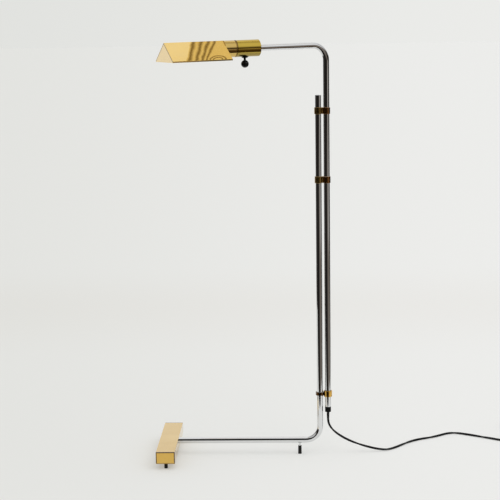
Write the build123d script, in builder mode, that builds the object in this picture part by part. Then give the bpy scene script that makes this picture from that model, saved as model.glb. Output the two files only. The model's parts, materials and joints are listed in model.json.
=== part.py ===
from build123d import *
import math
import os

os.makedirs("parts", exist_ok=True)

# A reading floor lamp with two parallel tubes, in millimetres.
# +Z is up, +X runs along the foot rod from the bar to the posts, and -Y is the front.
# The origin is the centre of the rear foot's face on the floor.

# Clearances and the overrun of cuts
running_clearance = 0.05
seat_clearance = 0.02
press_gap = 0.1
cut_overrun = 1.0

# Tubes
tube_diameter = 16.0
tube_wall = 1.5
bend_radius = 38.0
tube_pitch = 21.0
tube_radius = tube_diameter / 2
tube_bore_radius = tube_radius - tube_wall
plug_radius = tube_bore_radius - seat_clearance

# Foot bar
bar_length = 280.0
bar_width = 49.0
bar_height = 31.0
bar_wall = 1.2
bar_corner = 0.6
bar_underside = 16.0
foot_span = 347.0
end_plate_thickness = 2.5
end_plate_bevel = 0.5
end_seam = 0.4
end_spigot_depth = 5.0
bar_x = -foot_span
bar_middle_z = bar_underside + bar_height / 2
bar_side_x = bar_x + bar_width / 2

# Ballast, its anchor rod and the set screws
ballast_end_clearance = 2.1
ballast_width = 40.0
ballast_lift = 0.2
anchor_grip = 32.0
anchor_reach = 34.0
anchor_clearance = 0.03
set_screw_diameter = 6.0
set_screw_length = 9.0
set_screw_spacing = 14.0
set_screw_key = 3.0
set_screw_access = 3.6
ballast_height = bar_height - 2 * bar_wall - 2 * ballast_lift
ballast_end_room = end_plate_thickness + end_seam + end_spigot_depth + ballast_end_clearance
ballast_length = bar_length - 2 * ballast_end_room

# Foot rod, post and rear foot
rod_height = 37.8
post_x = 54.5
post_height = 952.0
post_dome = 1.2
post_plug_depth = 10.0
stud_diameter = 6.0
bar_stud_inset = 17.0
bar_stud_grip = 14.0
pad_diameter = 9.0
pad_base_diameter = 9.5
pad_floor = 4.0
pad_edge = 0.4
rear_pad_height = 22.0
slug_length = 18.0
stud_radius = stud_diameter / 2
bar_stud_y = bar_length / 2 - bar_stud_inset
rod_underside = rod_height - tube_radius
arm_x = post_x + tube_pitch

# Brackets and their liners
bracket_height = 17.0
bracket_ring_diameter = 20.0
bracket_bevel = 0.5
bracket_web = 7.0
liner_wall = 0.85
upper_bracket_z = 911.0
middle_bracket_z = 733.0
grub_diameter = 3.0
grub_key = 1.5
grub_key_depth = 1.1
slider_z = 164.5
slider_ring_diameter = 22.0
slider_arm_height = 16.5
slider_post_height = 8.6
liner_bore_radius = tube_radius + running_clearance
liner_radius = liner_bore_radius + liner_wall
post_ring_bore_radius = tube_radius + seat_clearance
arm_ring_bore_radius = liner_radius + seat_clearance

# Swing arm
arm_height = 1078.0
swing_degrees = 24.0
droop_degrees = 1.0
arm_tube_bottom = 129.0
clip_thickness = 0.8
clip_diameter = 18.6
clip_groove_depth = 0.3
end_cap_height = 14.5
end_cap_plug = 12.0
end_cap_bevel = 0.6
relief_bottom = 99.0
relief_top_radius = 3.9
relief_tip_radius = 3.3
relief_seat_radius = 4.0
relief_seat_depth = 9.5
lead_diameter = 5.0
lead_radius = lead_diameter / 2
end_cap_bottom = arm_tube_bottom - end_cap_height

# Lamp holder in its cover, measured along the arm from the arm tube's upright axis
cover_start = 186.5
cover_length = 63.0
cover_diameter = 42.0
cover_wall = 1.2
cover_back = 1.5
cover_edge = 0.8
nipple_diameter = 10.0
nipple_wall = 1.7
nipple_stand = 12.5
arm_plug_length = 15.0
nut_across_flats = 14.0
nut_thickness = 3.4
holder_diameter = 34.0
holder_length = 72.0
holder_well_depth = 28.0
screw_shell_diameter = 27.8
screw_shell_wall = 0.5
contact_width = 7.0
contact_thickness = 0.6
contact_spring = 2.2
cover_radius = cover_diameter / 2
cover_bore_radius = cover_radius - cover_wall
cover_end = cover_start + cover_length
nipple_radius = nipple_diameter / 2
holder_start = cover_start + cover_back + nut_thickness + press_gap
holder_end = holder_start + holder_length
well_start = holder_end - holder_well_depth

# Bulb
bulb_cap_diameter = 26.0
bulb_cap_height = 24.0
bulb_cap_wall = 0.4
bulb_tip_radius = 4.5
bulb_tip_height = 2.0
bulb_diameter = 28.0
bulb_length = 140.0
bulb_wall = 0.9
bulb_neck_clearance = 0.1
bulb_start = well_start + contact_thickness + contact_spring

# Switch knob
knob_station = 224.0
knob_ball_diameter = 19.5
knob_ball_drop = 38.5
knob_stem_diameter = 5.7
knob_stem_depth = 8.0
knob_seat_depth = 5.0
bushing_neck_diameter = 10.0
bushing_flange_diameter = 19.0
bushing_tip_diameter = 12.0
bushing_stand = 2.8

# Shade, its collar and the swivel between collar and cover
swivel_gap = 1.8
swivel_overlap = 12.0
swivel_grip = 12.0
swivel_wall = 1.1
snap_ring_width = 1.0
snap_ring_depth = 0.6
snap_ring_inset = 3.0
collar_end = 281.0
collar_base = 1.5
lamp_hole_diameter = 31.0
shade_length = 155.0
shade_width = 128.0
shade_height = 47.4
shade_sheet = 1.0
shade_hem = 3.4
shade_end_sheet = 1.2
rivet_count = 3
rivet_spread_degrees = 60.0
rivet_shank_diameter = 2.0
rivet_head_diameter = 3.2
rivet_head_height = 0.8
collar_start = cover_end + swivel_gap
shade_ridge = cover_radius
shade_base = shade_ridge - shade_height

# Mains cord, its coil and the plug
cord_diameter = 6.0
coil_radius = 45.6
coil_gap = 1.7
coil_turns_per_layer = 3
tail_runs = (34.0, 36.0)
tail_turn_degrees = 60.0
plug_width = 25.0
plug_length = 30.0
plug_corner = 3.5
plug_neck_length = 9.0
plug_neck_radius = 4.6
blade_length = 17.0
blade_width = 6.35
blade_thickness = 1.5
blade_spacing = 12.7
blade_root = 5.0
blade_tip_bevel = 0.5
bend_share = 0.45
cord_radius = cord_diameter / 2
cord_route = [
    (75.5, 0, 99),
    (75.5, 0, 87),
    (81, 0.5, 73.5),
    (91, 1.5, 61),
    (104.5, 3, 50),
    (122, 5.5, 38.5),
    (146, 8.5, 26.5),
    (176, 11.5, 15.5),
    (206, 15, 7),
    (232, 20, 3),
    (255, 39, 3),
    (278, 69, 3),
    (302, 98, 3),
    (328, 118, 3),
    (357, 132, 3),
    (384, 151, 3),
    (404, 169, 3),
    (420, 176.5, 3),
    (436, 175, 3),
    (455, 165.5, 3),
    (480, 150, 3),
    (506, 132.5, 3),
    (531, 116, 3),
    (556, 98, 3),
    (571, 88, 3),
]

# Directions and planes of the swing arm
swing = math.radians(swing_degrees)
droop = math.radians(droop_degrees)
arm_origin = Vector(arm_x, 0, arm_height)
arm_direction = Vector(
    -math.cos(swing) * math.cos(droop), -math.sin(swing) * math.cos(droop), -math.sin(droop)
)
near_direction = Vector(math.sin(swing), -math.cos(swing), 0)
upright_plane = Plane(
    (arm_x, 0, 0), x_dir=(-math.cos(swing), -math.sin(swing), 0), z_dir=-near_direction
)
arm_side = Plane(arm_origin, x_dir=arm_direction, z_dir=-near_direction)
arm_axis = Axis(arm_origin, arm_direction)
knob_axis = Axis(arm_origin + arm_direction * knob_station, arm_side.y_dir)


def arm_station(distance):
    """The plane square to the arm at a distance along it, x to the near side and y up."""
    return Plane(
        arm_origin + arm_direction * distance, x_dir=near_direction, z_dir=arm_direction
    )


def cord_radii(points):
    """One bend radius per inner point, as large as its two runs allow."""
    radii = []
    for before, corner, after in zip(points, points[1:], points[2:]):
        run_in = Vector(corner) - Vector(before)
        run_out = Vector(after) - Vector(corner)
        half_turn = math.radians(run_in.get_angle(run_out)) / 2
        shorter = min(run_in.length, run_out.length)
        radii.append(bend_share * shorter / math.tan(half_turn))
    return radii


def report_cord(name, wire, solid):
    """Prints a tube's length and how its volume compares with its section times its length."""
    section = math.pi * cord_radius**2
    print(name, "length", round(wire.length, 1), "volume ratio",
          round(solid.volume / (section * wire.length), 5))


def least_self_gap(wire, diameter, samples=900):
    """The least gap between stretches of one tube that are over a half turn apart."""
    points = [wire.position_at(index / samples) for index in range(samples + 1)]
    spacing = wire.length / samples
    apart = math.ceil(3 * diameter / spacing)
    least = wire.length
    for index, point in enumerate(points):
        for other in points[index + apart:]:
            least = min(least, (other - point).length)
    return least - diameter


# Foot bar shell with its holes for the anchor, the studs and the set screws
shell_length = bar_length - 2 * (end_plate_thickness + end_seam)
with BuildPart() as bar_shell:
    with BuildSketch(Plane.XZ.offset(-shell_length / 2)):
        with Locations((bar_x, bar_middle_z)):
            RectangleRounded(bar_width, bar_height, bar_corner)
            Rectangle(bar_width - 2 * bar_wall, bar_height - 2 * bar_wall, mode=Mode.SUBTRACT)
    extrude(amount=shell_length)
    with BuildSketch(Plane.YZ.offset(bar_side_x - bar_wall - cut_overrun)):
        with Locations((0, rod_height)):
            Circle(tube_bore_radius)
    extrude(amount=bar_wall + 2 * cut_overrun, mode=Mode.SUBTRACT)
    with BuildSketch(Plane.XY.offset(bar_underside - cut_overrun)):
        with Locations((bar_x, -bar_stud_y), (bar_x, bar_stud_y)):
            Circle(stud_radius + press_gap)
        with Locations((bar_x, 0)):
            with GridLocations(set_screw_spacing, 0, 2, 1):
                Circle(set_screw_access)
    extrude(amount=bar_wall + 2 * cut_overrun, mode=Mode.SUBTRACT)
bar_shell.part.label = "bar_shell"
export_step(bar_shell.part, "parts/bar_shell.step")

# End plates of the bar, each with a spigot in the shell and a shadow gap behind its rim
for end_name, side in (("front", -1), ("rear", 1)):
    rim_plane = Plane(
        (bar_x, side * (bar_length / 2 - end_plate_thickness), bar_middle_z),
        x_dir=(1, 0, 0),
        z_dir=(0, side, 0),
    )
    with BuildPart() as end_plate:
        with BuildSketch(rim_plane):
            RectangleRounded(bar_width, bar_height, bar_corner)
        extrude(amount=end_plate_thickness)
        chamfer(end_plate.faces().sort_by(Axis.Y)[0 if side < 0 else -1].edges(), end_plate_bevel)
        with BuildSketch(rim_plane):
            Rectangle(
                bar_width - 2 * bar_wall - 2 * press_gap, bar_height - 2 * bar_wall - 2 * press_gap
            )
        extrude(amount=-(end_seam + end_spigot_depth))
    end_plate.part.label = f"bar_end_{end_name}"
    export_step(end_plate.part, f"parts/bar_end_{end_name}.step")

# Steel ballast inside the bar, bored for the anchor and tapped for studs and set screws
ballast_bottom = bar_underside + bar_wall + ballast_lift
anchor_end_x = bar_side_x - bar_wall - anchor_reach
with BuildPart() as ballast_block:
    with BuildSketch(Plane.XY.offset(ballast_bottom)):
        with Locations((bar_x, 0)):
            Rectangle(ballast_width, ballast_length)
    extrude(amount=ballast_height)
    with BuildSketch(Plane.YZ.offset(anchor_end_x)):
        with Locations((0, rod_height)):
            Circle(plug_radius + anchor_clearance)
    extrude(amount=bar_side_x - anchor_end_x, mode=Mode.SUBTRACT)
    with BuildSketch(Plane.XY.offset(ballast_bottom - cut_overrun)):
        with Locations((bar_x, -bar_stud_y), (bar_x, bar_stud_y)):
            Circle(stud_radius + seat_clearance)
    extrude(amount=cut_overrun + bar_stud_grip, mode=Mode.SUBTRACT)
    with BuildSketch(Plane.XY.offset(ballast_bottom - cut_overrun)):
        with Locations((bar_x, 0)):
            with GridLocations(set_screw_spacing, 0, 2, 1):
                Circle(set_screw_diameter / 2 + seat_clearance)
    extrude(amount=cut_overrun + rod_height - ballast_bottom, mode=Mode.SUBTRACT)
ballast_block.part.label = "ballast_block"
export_step(ballast_block.part, "parts/ballast_block.step")

# Anchor rod that joins the foot rod's bore to the ballast
with BuildPart() as rod_anchor:
    with BuildSketch(Plane.YZ.offset(anchor_end_x)):
        with Locations((0, rod_height)):
            Circle(plug_radius)
    extrude(amount=anchor_reach + bar_wall + anchor_grip)
rod_anchor.part.label = "rod_anchor"
export_step(rod_anchor.part, "parts/rod_anchor.step")

# Two set screws under the anchor, each with a hexagon socket
set_screw_top = rod_height - plug_radius
with BuildPart() as anchor_set_screws:
    with BuildSketch(Plane.XY.offset(set_screw_top - set_screw_length)):
        with Locations((bar_x, 0)):
            with GridLocations(set_screw_spacing, 0, 2, 1):
                Circle(set_screw_diameter / 2)
    extrude(amount=set_screw_length)
    with BuildSketch(Plane.XY.offset(set_screw_top - set_screw_length)):
        with Locations((bar_x, 0)):
            with GridLocations(set_screw_spacing, 0, 2, 1):
                RegularPolygon(set_screw_key / 2, 6, major_radius=False)
    extrude(amount=set_screw_key, mode=Mode.SUBTRACT)
anchor_set_screws.part.label = "anchor_set_screws"
export_step(anchor_set_screws.part, "parts/anchor_set_screws.step")

# Studs of the bar's two feet
with BuildPart() as bar_foot_studs:
    with BuildSketch(Plane.XY.offset(pad_floor)):
        with Locations((bar_x, -bar_stud_y), (bar_x, bar_stud_y)):
            Circle(stud_radius)
    extrude(amount=ballast_bottom + bar_stud_grip - pad_floor)
bar_foot_studs.part.label = "bar_foot_studs"
export_step(bar_foot_studs.part, "parts/bar_foot_studs.step")

# Rubber pads of the bar's two feet
with BuildPart() as bar_foot_pads:
    with BuildSketch(Plane.XY):
        with Locations((bar_x, -bar_stud_y), (bar_x, bar_stud_y)):
            Circle(pad_diameter / 2)
    extrude(amount=bar_underside)
    chamfer(bar_foot_pads.faces().group_by(Axis.Z)[0].edges(), pad_edge)
    with BuildSketch(Plane.XY.offset(pad_floor)):
        with Locations((bar_x, -bar_stud_y), (bar_x, bar_stud_y)):
            Circle(stud_radius + seat_clearance)
    extrude(amount=bar_underside, mode=Mode.SUBTRACT)
bar_foot_pads.part.label = "bar_foot_pads"
export_step(bar_foot_pads.part, "parts/bar_foot_pads.step")

# Stud of the rear foot, screwed into a slug inside the rod
with BuildPart() as rear_foot_stud:
    with BuildSketch(Plane.XY.offset(pad_floor)):
        Circle(stud_radius)
    extrude(amount=rod_height - pad_floor)
rear_foot_stud.part.label = "rear_foot_stud"
export_step(rear_foot_stud.part, "parts/rear_foot_stud.step")

with BuildPart() as rear_foot_slug:
    with BuildSketch(Plane.YZ.offset(-slug_length / 2)):
        with Locations((0, rod_height)):
            Circle(plug_radius)
    extrude(amount=slug_length)
    with BuildSketch(Plane.XY.offset(rod_underside)):
        Circle(stud_radius + seat_clearance)
    extrude(amount=rod_height - rod_underside, mode=Mode.SUBTRACT)
rear_foot_slug.part.label = "rear_foot_slug"
export_step(rear_foot_slug.part, "parts/rear_foot_slug.step")

# Rubber sleeve of the rear foot, a little wider at the floor
with BuildPart() as rear_foot_pad:
    with BuildSketch(Plane.XZ):
        with BuildLine():
            Polyline(
                (0, 0),
                (pad_base_diameter / 2, 0),
                (pad_diameter / 2, rear_pad_height),
                (0, rear_pad_height),
                close=True,
            )
        make_face()
    revolve(axis=Axis.Z)
    with BuildSketch(Plane.XY.offset(pad_floor)):
        Circle(stud_radius + seat_clearance)
    extrude(amount=rear_pad_height, mode=Mode.SUBTRACT)
rear_foot_pad.part.label = "rear_foot_pad"
export_step(rear_foot_pad.part, "parts/rear_foot_pad.step")

# Foot rod and post, one bent tube, with a hole under the rod for the rear stud
post_tube_top = post_height - post_dome
with BuildPart() as base_tube:
    with BuildLine(Plane.XZ) as base_run:
        FilletPolyline(
            (bar_side_x, rod_height), (post_x, rod_height), (post_x, post_tube_top),
            radius=bend_radius,
        )
    with BuildSketch(Plane.YZ.offset(bar_side_x)):
        with Locations((0, rod_height)):
            Circle(tube_radius)
            Circle(tube_bore_radius, mode=Mode.SUBTRACT)
    sweep(path=base_run.line)
    with BuildSketch(Plane.XY.offset(rod_underside - cut_overrun)):
        Circle(stud_radius + press_gap)
    extrude(amount=cut_overrun + tube_radius, mode=Mode.SUBTRACT)
base_tube.part.label = "base_tube"
export_step(base_tube.part, "parts/base_tube.step")

# Domed plug in the post's top
with BuildPart() as post_plug:
    with BuildSketch(Plane.XZ):
        with BuildLine():
            Line((post_x, post_tube_top - post_plug_depth), (post_x, post_height))
            RadiusArc(
                (post_x, post_height),
                (post_x + tube_radius, post_tube_top),
                (tube_radius**2 + post_dome**2) / (2 * post_dome),
            )
            Polyline(
                (post_x + tube_radius, post_tube_top),
                (post_x + plug_radius, post_tube_top),
                (post_x + plug_radius, post_tube_top - post_plug_depth),
                (post_x, post_tube_top - post_plug_depth),
            )
        make_face()
    revolve(axis=Axis((post_x, 0, 0), (0, 0, 1)))
post_plug.part.label = "post_plug"
export_step(post_plug.part, "parts/post_plug.step")

# Fixed double-ring brackets, each with a liner for the moving tube and a grub screw behind
ring_radius = bracket_ring_diameter / 2
for bracket_name, middle_z in (("upper", upper_bracket_z), ("middle", middle_bracket_z)):
    bracket_bottom = middle_z - bracket_height / 2
    grub_plane = Plane(
        (post_x, tube_radius + seat_clearance, middle_z), x_dir=(1, 0, 0), z_dir=(0, 1, 0)
    )
    with BuildPart() as fixed_bracket:
        with BuildSketch(Plane.XY.offset(bracket_bottom)):
            with Locations((post_x, 0), (arm_x, 0)):
                Circle(ring_radius)
            with Locations(((post_x + arm_x) / 2, 0)):
                Rectangle(tube_pitch, bracket_web)
        extrude(amount=bracket_height)
        chamfer(fixed_bracket.faces().filter_by(Axis.Z).edges(), bracket_bevel)
        with BuildSketch(Plane.XY.offset(bracket_bottom)):
            with Locations((post_x, 0)):
                Circle(post_ring_bore_radius)
            with Locations((arm_x, 0)):
                Circle(arm_ring_bore_radius)
        extrude(amount=bracket_height, mode=Mode.SUBTRACT)
        with BuildSketch(grub_plane.offset(-cut_overrun)):
            Circle(grub_diameter / 2 + seat_clearance)
        extrude(amount=ring_radius, mode=Mode.SUBTRACT)
    fixed_bracket.part.label = f"{bracket_name}_bracket"
    export_step(fixed_bracket.part, f"parts/{bracket_name}_bracket.step")

    with BuildPart() as bracket_liner:
        with BuildSketch(Plane.XY.offset(bracket_bottom)):
            with Locations((arm_x, 0)):
                Circle(liner_radius)
                Circle(liner_bore_radius, mode=Mode.SUBTRACT)
        extrude(amount=bracket_height)
    bracket_liner.part.label = f"{bracket_name}_liner"
    export_step(bracket_liner.part, f"parts/{bracket_name}_liner.step")

    with BuildPart() as grub_screw:
        with BuildSketch(grub_plane):
            Circle(grub_diameter / 2)
        extrude(amount=ring_radius - tube_radius)
        with BuildSketch(grub_plane.offset(ring_radius - tube_radius)):
            RegularPolygon(grub_key / 2, 6, major_radius=False)
        extrude(amount=-grub_key_depth, mode=Mode.SUBTRACT)
    grub_screw.part.label = f"{bracket_name}_grub_screw"
    export_step(grub_screw.part, f"parts/{bracket_name}_grub_screw.step")

# Sliding bracket: a thin ring on the post and a tall ring on the moving tube
slider_radius = slider_ring_diameter / 2
slider_arm_bottom = slider_z - slider_arm_height / 2
slider_post_bottom = slider_z - slider_post_height / 2
with BuildPart() as slider_bracket:
    with BuildSketch(Plane.XY.offset(slider_arm_bottom)):
        with Locations((arm_x, 0)):
            Circle(slider_radius)
    extrude(amount=slider_arm_height)
    chamfer(slider_bracket.faces().filter_by(Axis.Z).edges(), bracket_bevel)
    with BuildSketch(Plane.XY.offset(slider_post_bottom)):
        with Locations((post_x, 0)):
            Circle(slider_radius)
        with Locations(((post_x + arm_x) / 2, 0)):
            Rectangle(tube_pitch, bracket_web)
    extrude(amount=slider_post_height)
    with BuildSketch(Plane.XY.offset(slider_arm_bottom)):
        with Locations((post_x, 0), (arm_x, 0)):
            Circle(arm_ring_bore_radius)
    extrude(amount=slider_arm_height, mode=Mode.SUBTRACT)
slider_bracket.part.label = "slider_bracket"
export_step(slider_bracket.part, "parts/slider_bracket.step")

for liner_name, liner_x, liner_bottom, liner_height in (
    ("post", post_x, slider_post_bottom, slider_post_height),
    ("arm", arm_x, slider_arm_bottom, slider_arm_height),
):
    with BuildPart() as slider_liner:
        with BuildSketch(Plane.XY.offset(liner_bottom)):
            with Locations((liner_x, 0)):
                Circle(liner_radius)
                Circle(liner_bore_radius, mode=Mode.SUBTRACT)
        extrude(amount=liner_height)
    slider_liner.part.label = f"slider_{liner_name}_liner"
    export_step(slider_liner.part, f"parts/slider_{liner_name}_liner.step")

# Swing tube, one bent tube from its lower end to the lamp holder's cover
clip_bottoms = (
    slider_arm_bottom - running_clearance - clip_thickness,
    slider_arm_bottom + slider_arm_height + running_clearance,
)
groove_radius = tube_radius - clip_groove_depth
with BuildPart() as arm_tube:
    with BuildLine(upright_plane) as arm_run:
        FilletPolyline(
            (0, arm_tube_bottom),
            (0, arm_height),
            (cover_start * math.cos(droop), arm_height - cover_start * math.sin(droop)),
            radius=bend_radius,
        )
    with BuildSketch(Plane.XY.offset(arm_tube_bottom)):
        with Locations((arm_x, 0)):
            Circle(tube_radius)
            Circle(tube_bore_radius, mode=Mode.SUBTRACT)
    sweep(path=arm_run.line)
    for clip_bottom in clip_bottoms:
        with BuildSketch(Plane.XY.offset(clip_bottom)):
            with Locations((arm_x, 0)):
                Circle(tube_radius + cut_overrun)
                Circle(groove_radius, mode=Mode.SUBTRACT)
        extrude(amount=clip_thickness, mode=Mode.SUBTRACT)
arm_tube.part.label = "arm_tube"
export_step(arm_tube.part, "parts/arm_tube.step")

# Retaining rings above and below the sliding bracket
with BuildPart() as retaining_rings:
    for clip_bottom in clip_bottoms:
        with BuildSketch(Plane.XY.offset(clip_bottom)):
            with Locations((arm_x, 0)):
                Circle(clip_diameter / 2)
                Circle(groove_radius + seat_clearance, mode=Mode.SUBTRACT)
        extrude(amount=clip_thickness)
retaining_rings.part.label = "retaining_rings"
export_step(retaining_rings.part, "parts/retaining_rings.step")

# Cap in the tube's lower end, bored for the strain relief and the lead
relief_seat_top = end_cap_bottom + relief_seat_depth
lead_hole_radius = lead_radius + press_gap
with BuildPart() as tube_end_cap:
    with BuildSketch(Plane.XY.offset(end_cap_bottom)):
        with Locations((arm_x, 0)):
            Circle(tube_radius)
    extrude(amount=end_cap_height)
    chamfer(tube_end_cap.faces().sort_by(Axis.Z)[0].edges(), end_cap_bevel)
    with BuildSketch(Plane.XY.offset(arm_tube_bottom)):
        with Locations((arm_x, 0)):
            Circle(plug_radius)
    extrude(amount=end_cap_plug)
    with BuildSketch(Plane.XY.offset(end_cap_bottom)):
        with Locations((arm_x, 0)):
            Circle(relief_seat_radius + seat_clearance)
    extrude(amount=relief_seat_depth, mode=Mode.SUBTRACT)
    with BuildSketch(Plane.XY.offset(end_cap_bottom)):
        with Locations((arm_x, 0)):
            Circle(lead_hole_radius)
    extrude(amount=end_cap_height + end_cap_plug, mode=Mode.SUBTRACT)
tube_end_cap.part.label = "tube_end_cap"
export_step(tube_end_cap.part, "parts/tube_end_cap.step")

# Tapered strain relief that the cord hangs from
with BuildPart() as strain_relief:
    with BuildSketch(Plane.XZ):
        with BuildLine():
            Polyline(
                (arm_x + lead_hole_radius, relief_bottom),
                (arm_x + relief_tip_radius, relief_bottom),
                (arm_x + relief_top_radius, end_cap_bottom),
                (arm_x + relief_seat_radius, end_cap_bottom),
                (arm_x + relief_seat_radius, relief_seat_top),
                (arm_x + lead_hole_radius, relief_seat_top),
                close=True,
            )
        make_face()
    revolve(axis=Axis((arm_x, 0, 0), (0, 0, 1)))
strain_relief.part.label = "strain_relief"
export_step(strain_relief.part, "parts/strain_relief.step")

# Lead through the swing tube, from the strain relief to the lamp holder
lead_end = holder_start + nipple_stand - nut_thickness
with BuildPart() as inner_lead:
    with BuildLine(upright_plane) as lead_run:
        FilletPolyline(
            (0, relief_bottom),
            (0, arm_height),
            (lead_end * math.cos(droop), arm_height - lead_end * math.sin(droop)),
            radius=bend_radius,
        )
    with BuildSketch(Plane.XY.offset(relief_bottom)):
        with Locations((arm_x, 0)):
            Circle(lead_radius)
    sweep(path=lead_run.line)
inner_lead.part.label = "inner_lead"
export_step(inner_lead.part, "parts/inner_lead.step")

# Threaded plug in the swing tube's end, the hollow nipple and its nut
with BuildPart() as arm_end_plug:
    with BuildSketch(arm_station(cover_start)):
        Circle(plug_radius)
        Circle(nipple_radius + seat_clearance, mode=Mode.SUBTRACT)
    extrude(amount=-arm_plug_length)
arm_end_plug.part.label = "arm_end_plug"
export_step(arm_end_plug.part, "parts/arm_end_plug.step")

nipple_end = cover_start + cover_back + nipple_stand
with BuildPart() as hollow_nipple:
    with BuildSketch(arm_station(nipple_end)):
        Circle(nipple_radius)
        Circle(nipple_radius - nipple_wall, mode=Mode.SUBTRACT)
    extrude(amount=-(nipple_stand + cover_back + arm_plug_length))
hollow_nipple.part.label = "hollow_nipple"
export_step(hollow_nipple.part, "parts/hollow_nipple.step")

with BuildPart() as nipple_nut:
    with BuildSketch(arm_station(cover_start + cover_back)):
        RegularPolygon(nut_across_flats / 2, 6, major_radius=False)
        Circle(nipple_radius + seat_clearance, mode=Mode.SUBTRACT)
    extrude(amount=nut_thickness)
nipple_nut.part.label = "nipple_nut"
export_step(nipple_nut.part, "parts/nipple_nut.step")

# Brass cover of the lamp holder, a cup with a hole below for the switch bushing
with BuildPart() as socket_cover:
    with BuildSketch(arm_side):
        with BuildLine():
            Polyline(
                (cover_start, nipple_radius + press_gap),
                (cover_start, cover_radius - cover_edge),
                (cover_start + cover_edge, cover_radius),
                (cover_end, cover_radius),
                (cover_end, cover_bore_radius),
                (cover_start + cover_back, cover_bore_radius),
                (cover_start + cover_back, nipple_radius + press_gap),
                close=True,
            )
        make_face()
    revolve(axis=arm_axis)
    with BuildSketch(Plane(knob_axis.position, x_dir=arm_direction, z_dir=-arm_side.y_dir)):
        Circle(bushing_neck_diameter / 2 + running_clearance)
    extrude(amount=cover_radius + cut_overrun, mode=Mode.SUBTRACT)
socket_cover.part.label = "socket_cover"
export_step(socket_cover.part, "parts/socket_cover.step")

# Lamp holder body with the switch works in its back and a well for the screw shell
well_radius = screw_shell_diameter / 2 + seat_clearance
with BuildPart() as lamp_holder:
    with BuildSketch(arm_station(holder_start)):
        Circle(holder_diameter / 2)
    extrude(amount=holder_length)
    with BuildSketch(arm_station(holder_start)):
        Circle(nipple_radius + seat_clearance)
    extrude(amount=nipple_end - holder_start + press_gap, mode=Mode.SUBTRACT)
    with BuildSketch(arm_station(holder_end)):
        Circle(well_radius)
    extrude(amount=-holder_well_depth, mode=Mode.SUBTRACT)
    with BuildSketch(
        Plane(
            knob_axis.position - arm_side.y_dir * knob_stem_depth,
            x_dir=arm_direction,
            z_dir=-arm_side.y_dir,
        )
    ):
        Circle(knob_stem_diameter / 2 + running_clearance)
    extrude(amount=holder_diameter / 2, mode=Mode.SUBTRACT)
lamp_holder.part.label = "lamp_holder"
export_step(lamp_holder.part, "parts/lamp_holder.step")

# Screw shell and centre contact in the holder's well
with BuildPart() as screw_shell:
    with BuildSketch(arm_station(holder_end)):
        Circle(screw_shell_diameter / 2)
        Circle(screw_shell_diameter / 2 - screw_shell_wall, mode=Mode.SUBTRACT)
    extrude(amount=-(holder_well_depth - contact_thickness))
screw_shell.part.label = "screw_shell"
export_step(screw_shell.part, "parts/screw_shell.step")

with BuildPart() as centre_contact:
    with BuildSketch(arm_station(well_start)):
        Rectangle(contact_width, contact_width)
    extrude(amount=contact_thickness)
    with BuildSketch(arm_station(well_start + contact_thickness)):
        Circle(contact_width / 4)
    extrude(amount=contact_spring)
centre_contact.part.label = "centre_contact"
export_step(centre_contact.part, "parts/centre_contact.step")

# Bulb cap with its contact tip
cap_radius = bulb_cap_diameter / 2
cap_start = bulb_start + bulb_tip_height
cap_end = cap_start + bulb_cap_height
with BuildPart() as bulb_cap:
    with BuildSketch(arm_side):
        with BuildLine():
            Polyline(
                (bulb_start, 0),
                (bulb_start, bulb_tip_radius),
                (cap_start, cap_radius - bulb_tip_height),
                (cap_start + bulb_tip_height, cap_radius),
                (cap_end, cap_radius),
                (cap_end, cap_radius - bulb_cap_wall),
                (cap_start + bulb_tip_height, cap_radius - bulb_cap_wall),
                (cap_start + bulb_tip_height, 0),
                close=True,
            )
        make_face()
    revolve(axis=arm_axis)
bulb_cap.part.label = "bulb_cap"
export_step(bulb_cap.part, "parts/bulb_cap.step")


def bulb_section(inset):
    """Closed outline of the tubular bulb, drawn in by the given inset."""
    neck_radius = cap_radius - bulb_cap_wall - bulb_neck_clearance - inset
    glass_radius = bulb_diameter / 2 - inset
    neck_start = cap_end - bulb_cap_height / 3 + inset
    shoulder = cap_end + bulb_cap_height / 3
    dome_start = bulb_start + bulb_length - bulb_diameter / 2
    Polyline(
        (dome_start, glass_radius), (shoulder, glass_radius), (cap_end, neck_radius),
        (neck_start, neck_radius), (neck_start, 0), (dome_start + glass_radius, 0),
    )
    RadiusArc((dome_start + glass_radius, 0), (dome_start, glass_radius), -glass_radius)


# Hollow tubular glass of the bulb
with BuildPart() as bulb_glass:
    with BuildSketch(arm_side):
        with BuildLine():
            bulb_section(0)
        make_face()
    revolve(axis=arm_axis)
    with BuildSketch(arm_side):
        with BuildLine():
            bulb_section(bulb_wall)
        make_face()
    revolve(axis=arm_axis, mode=Mode.SUBTRACT)
bulb_glass.part.label = "bulb_glass"
export_step(bulb_glass.part, "parts/bulb_glass.step")

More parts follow.
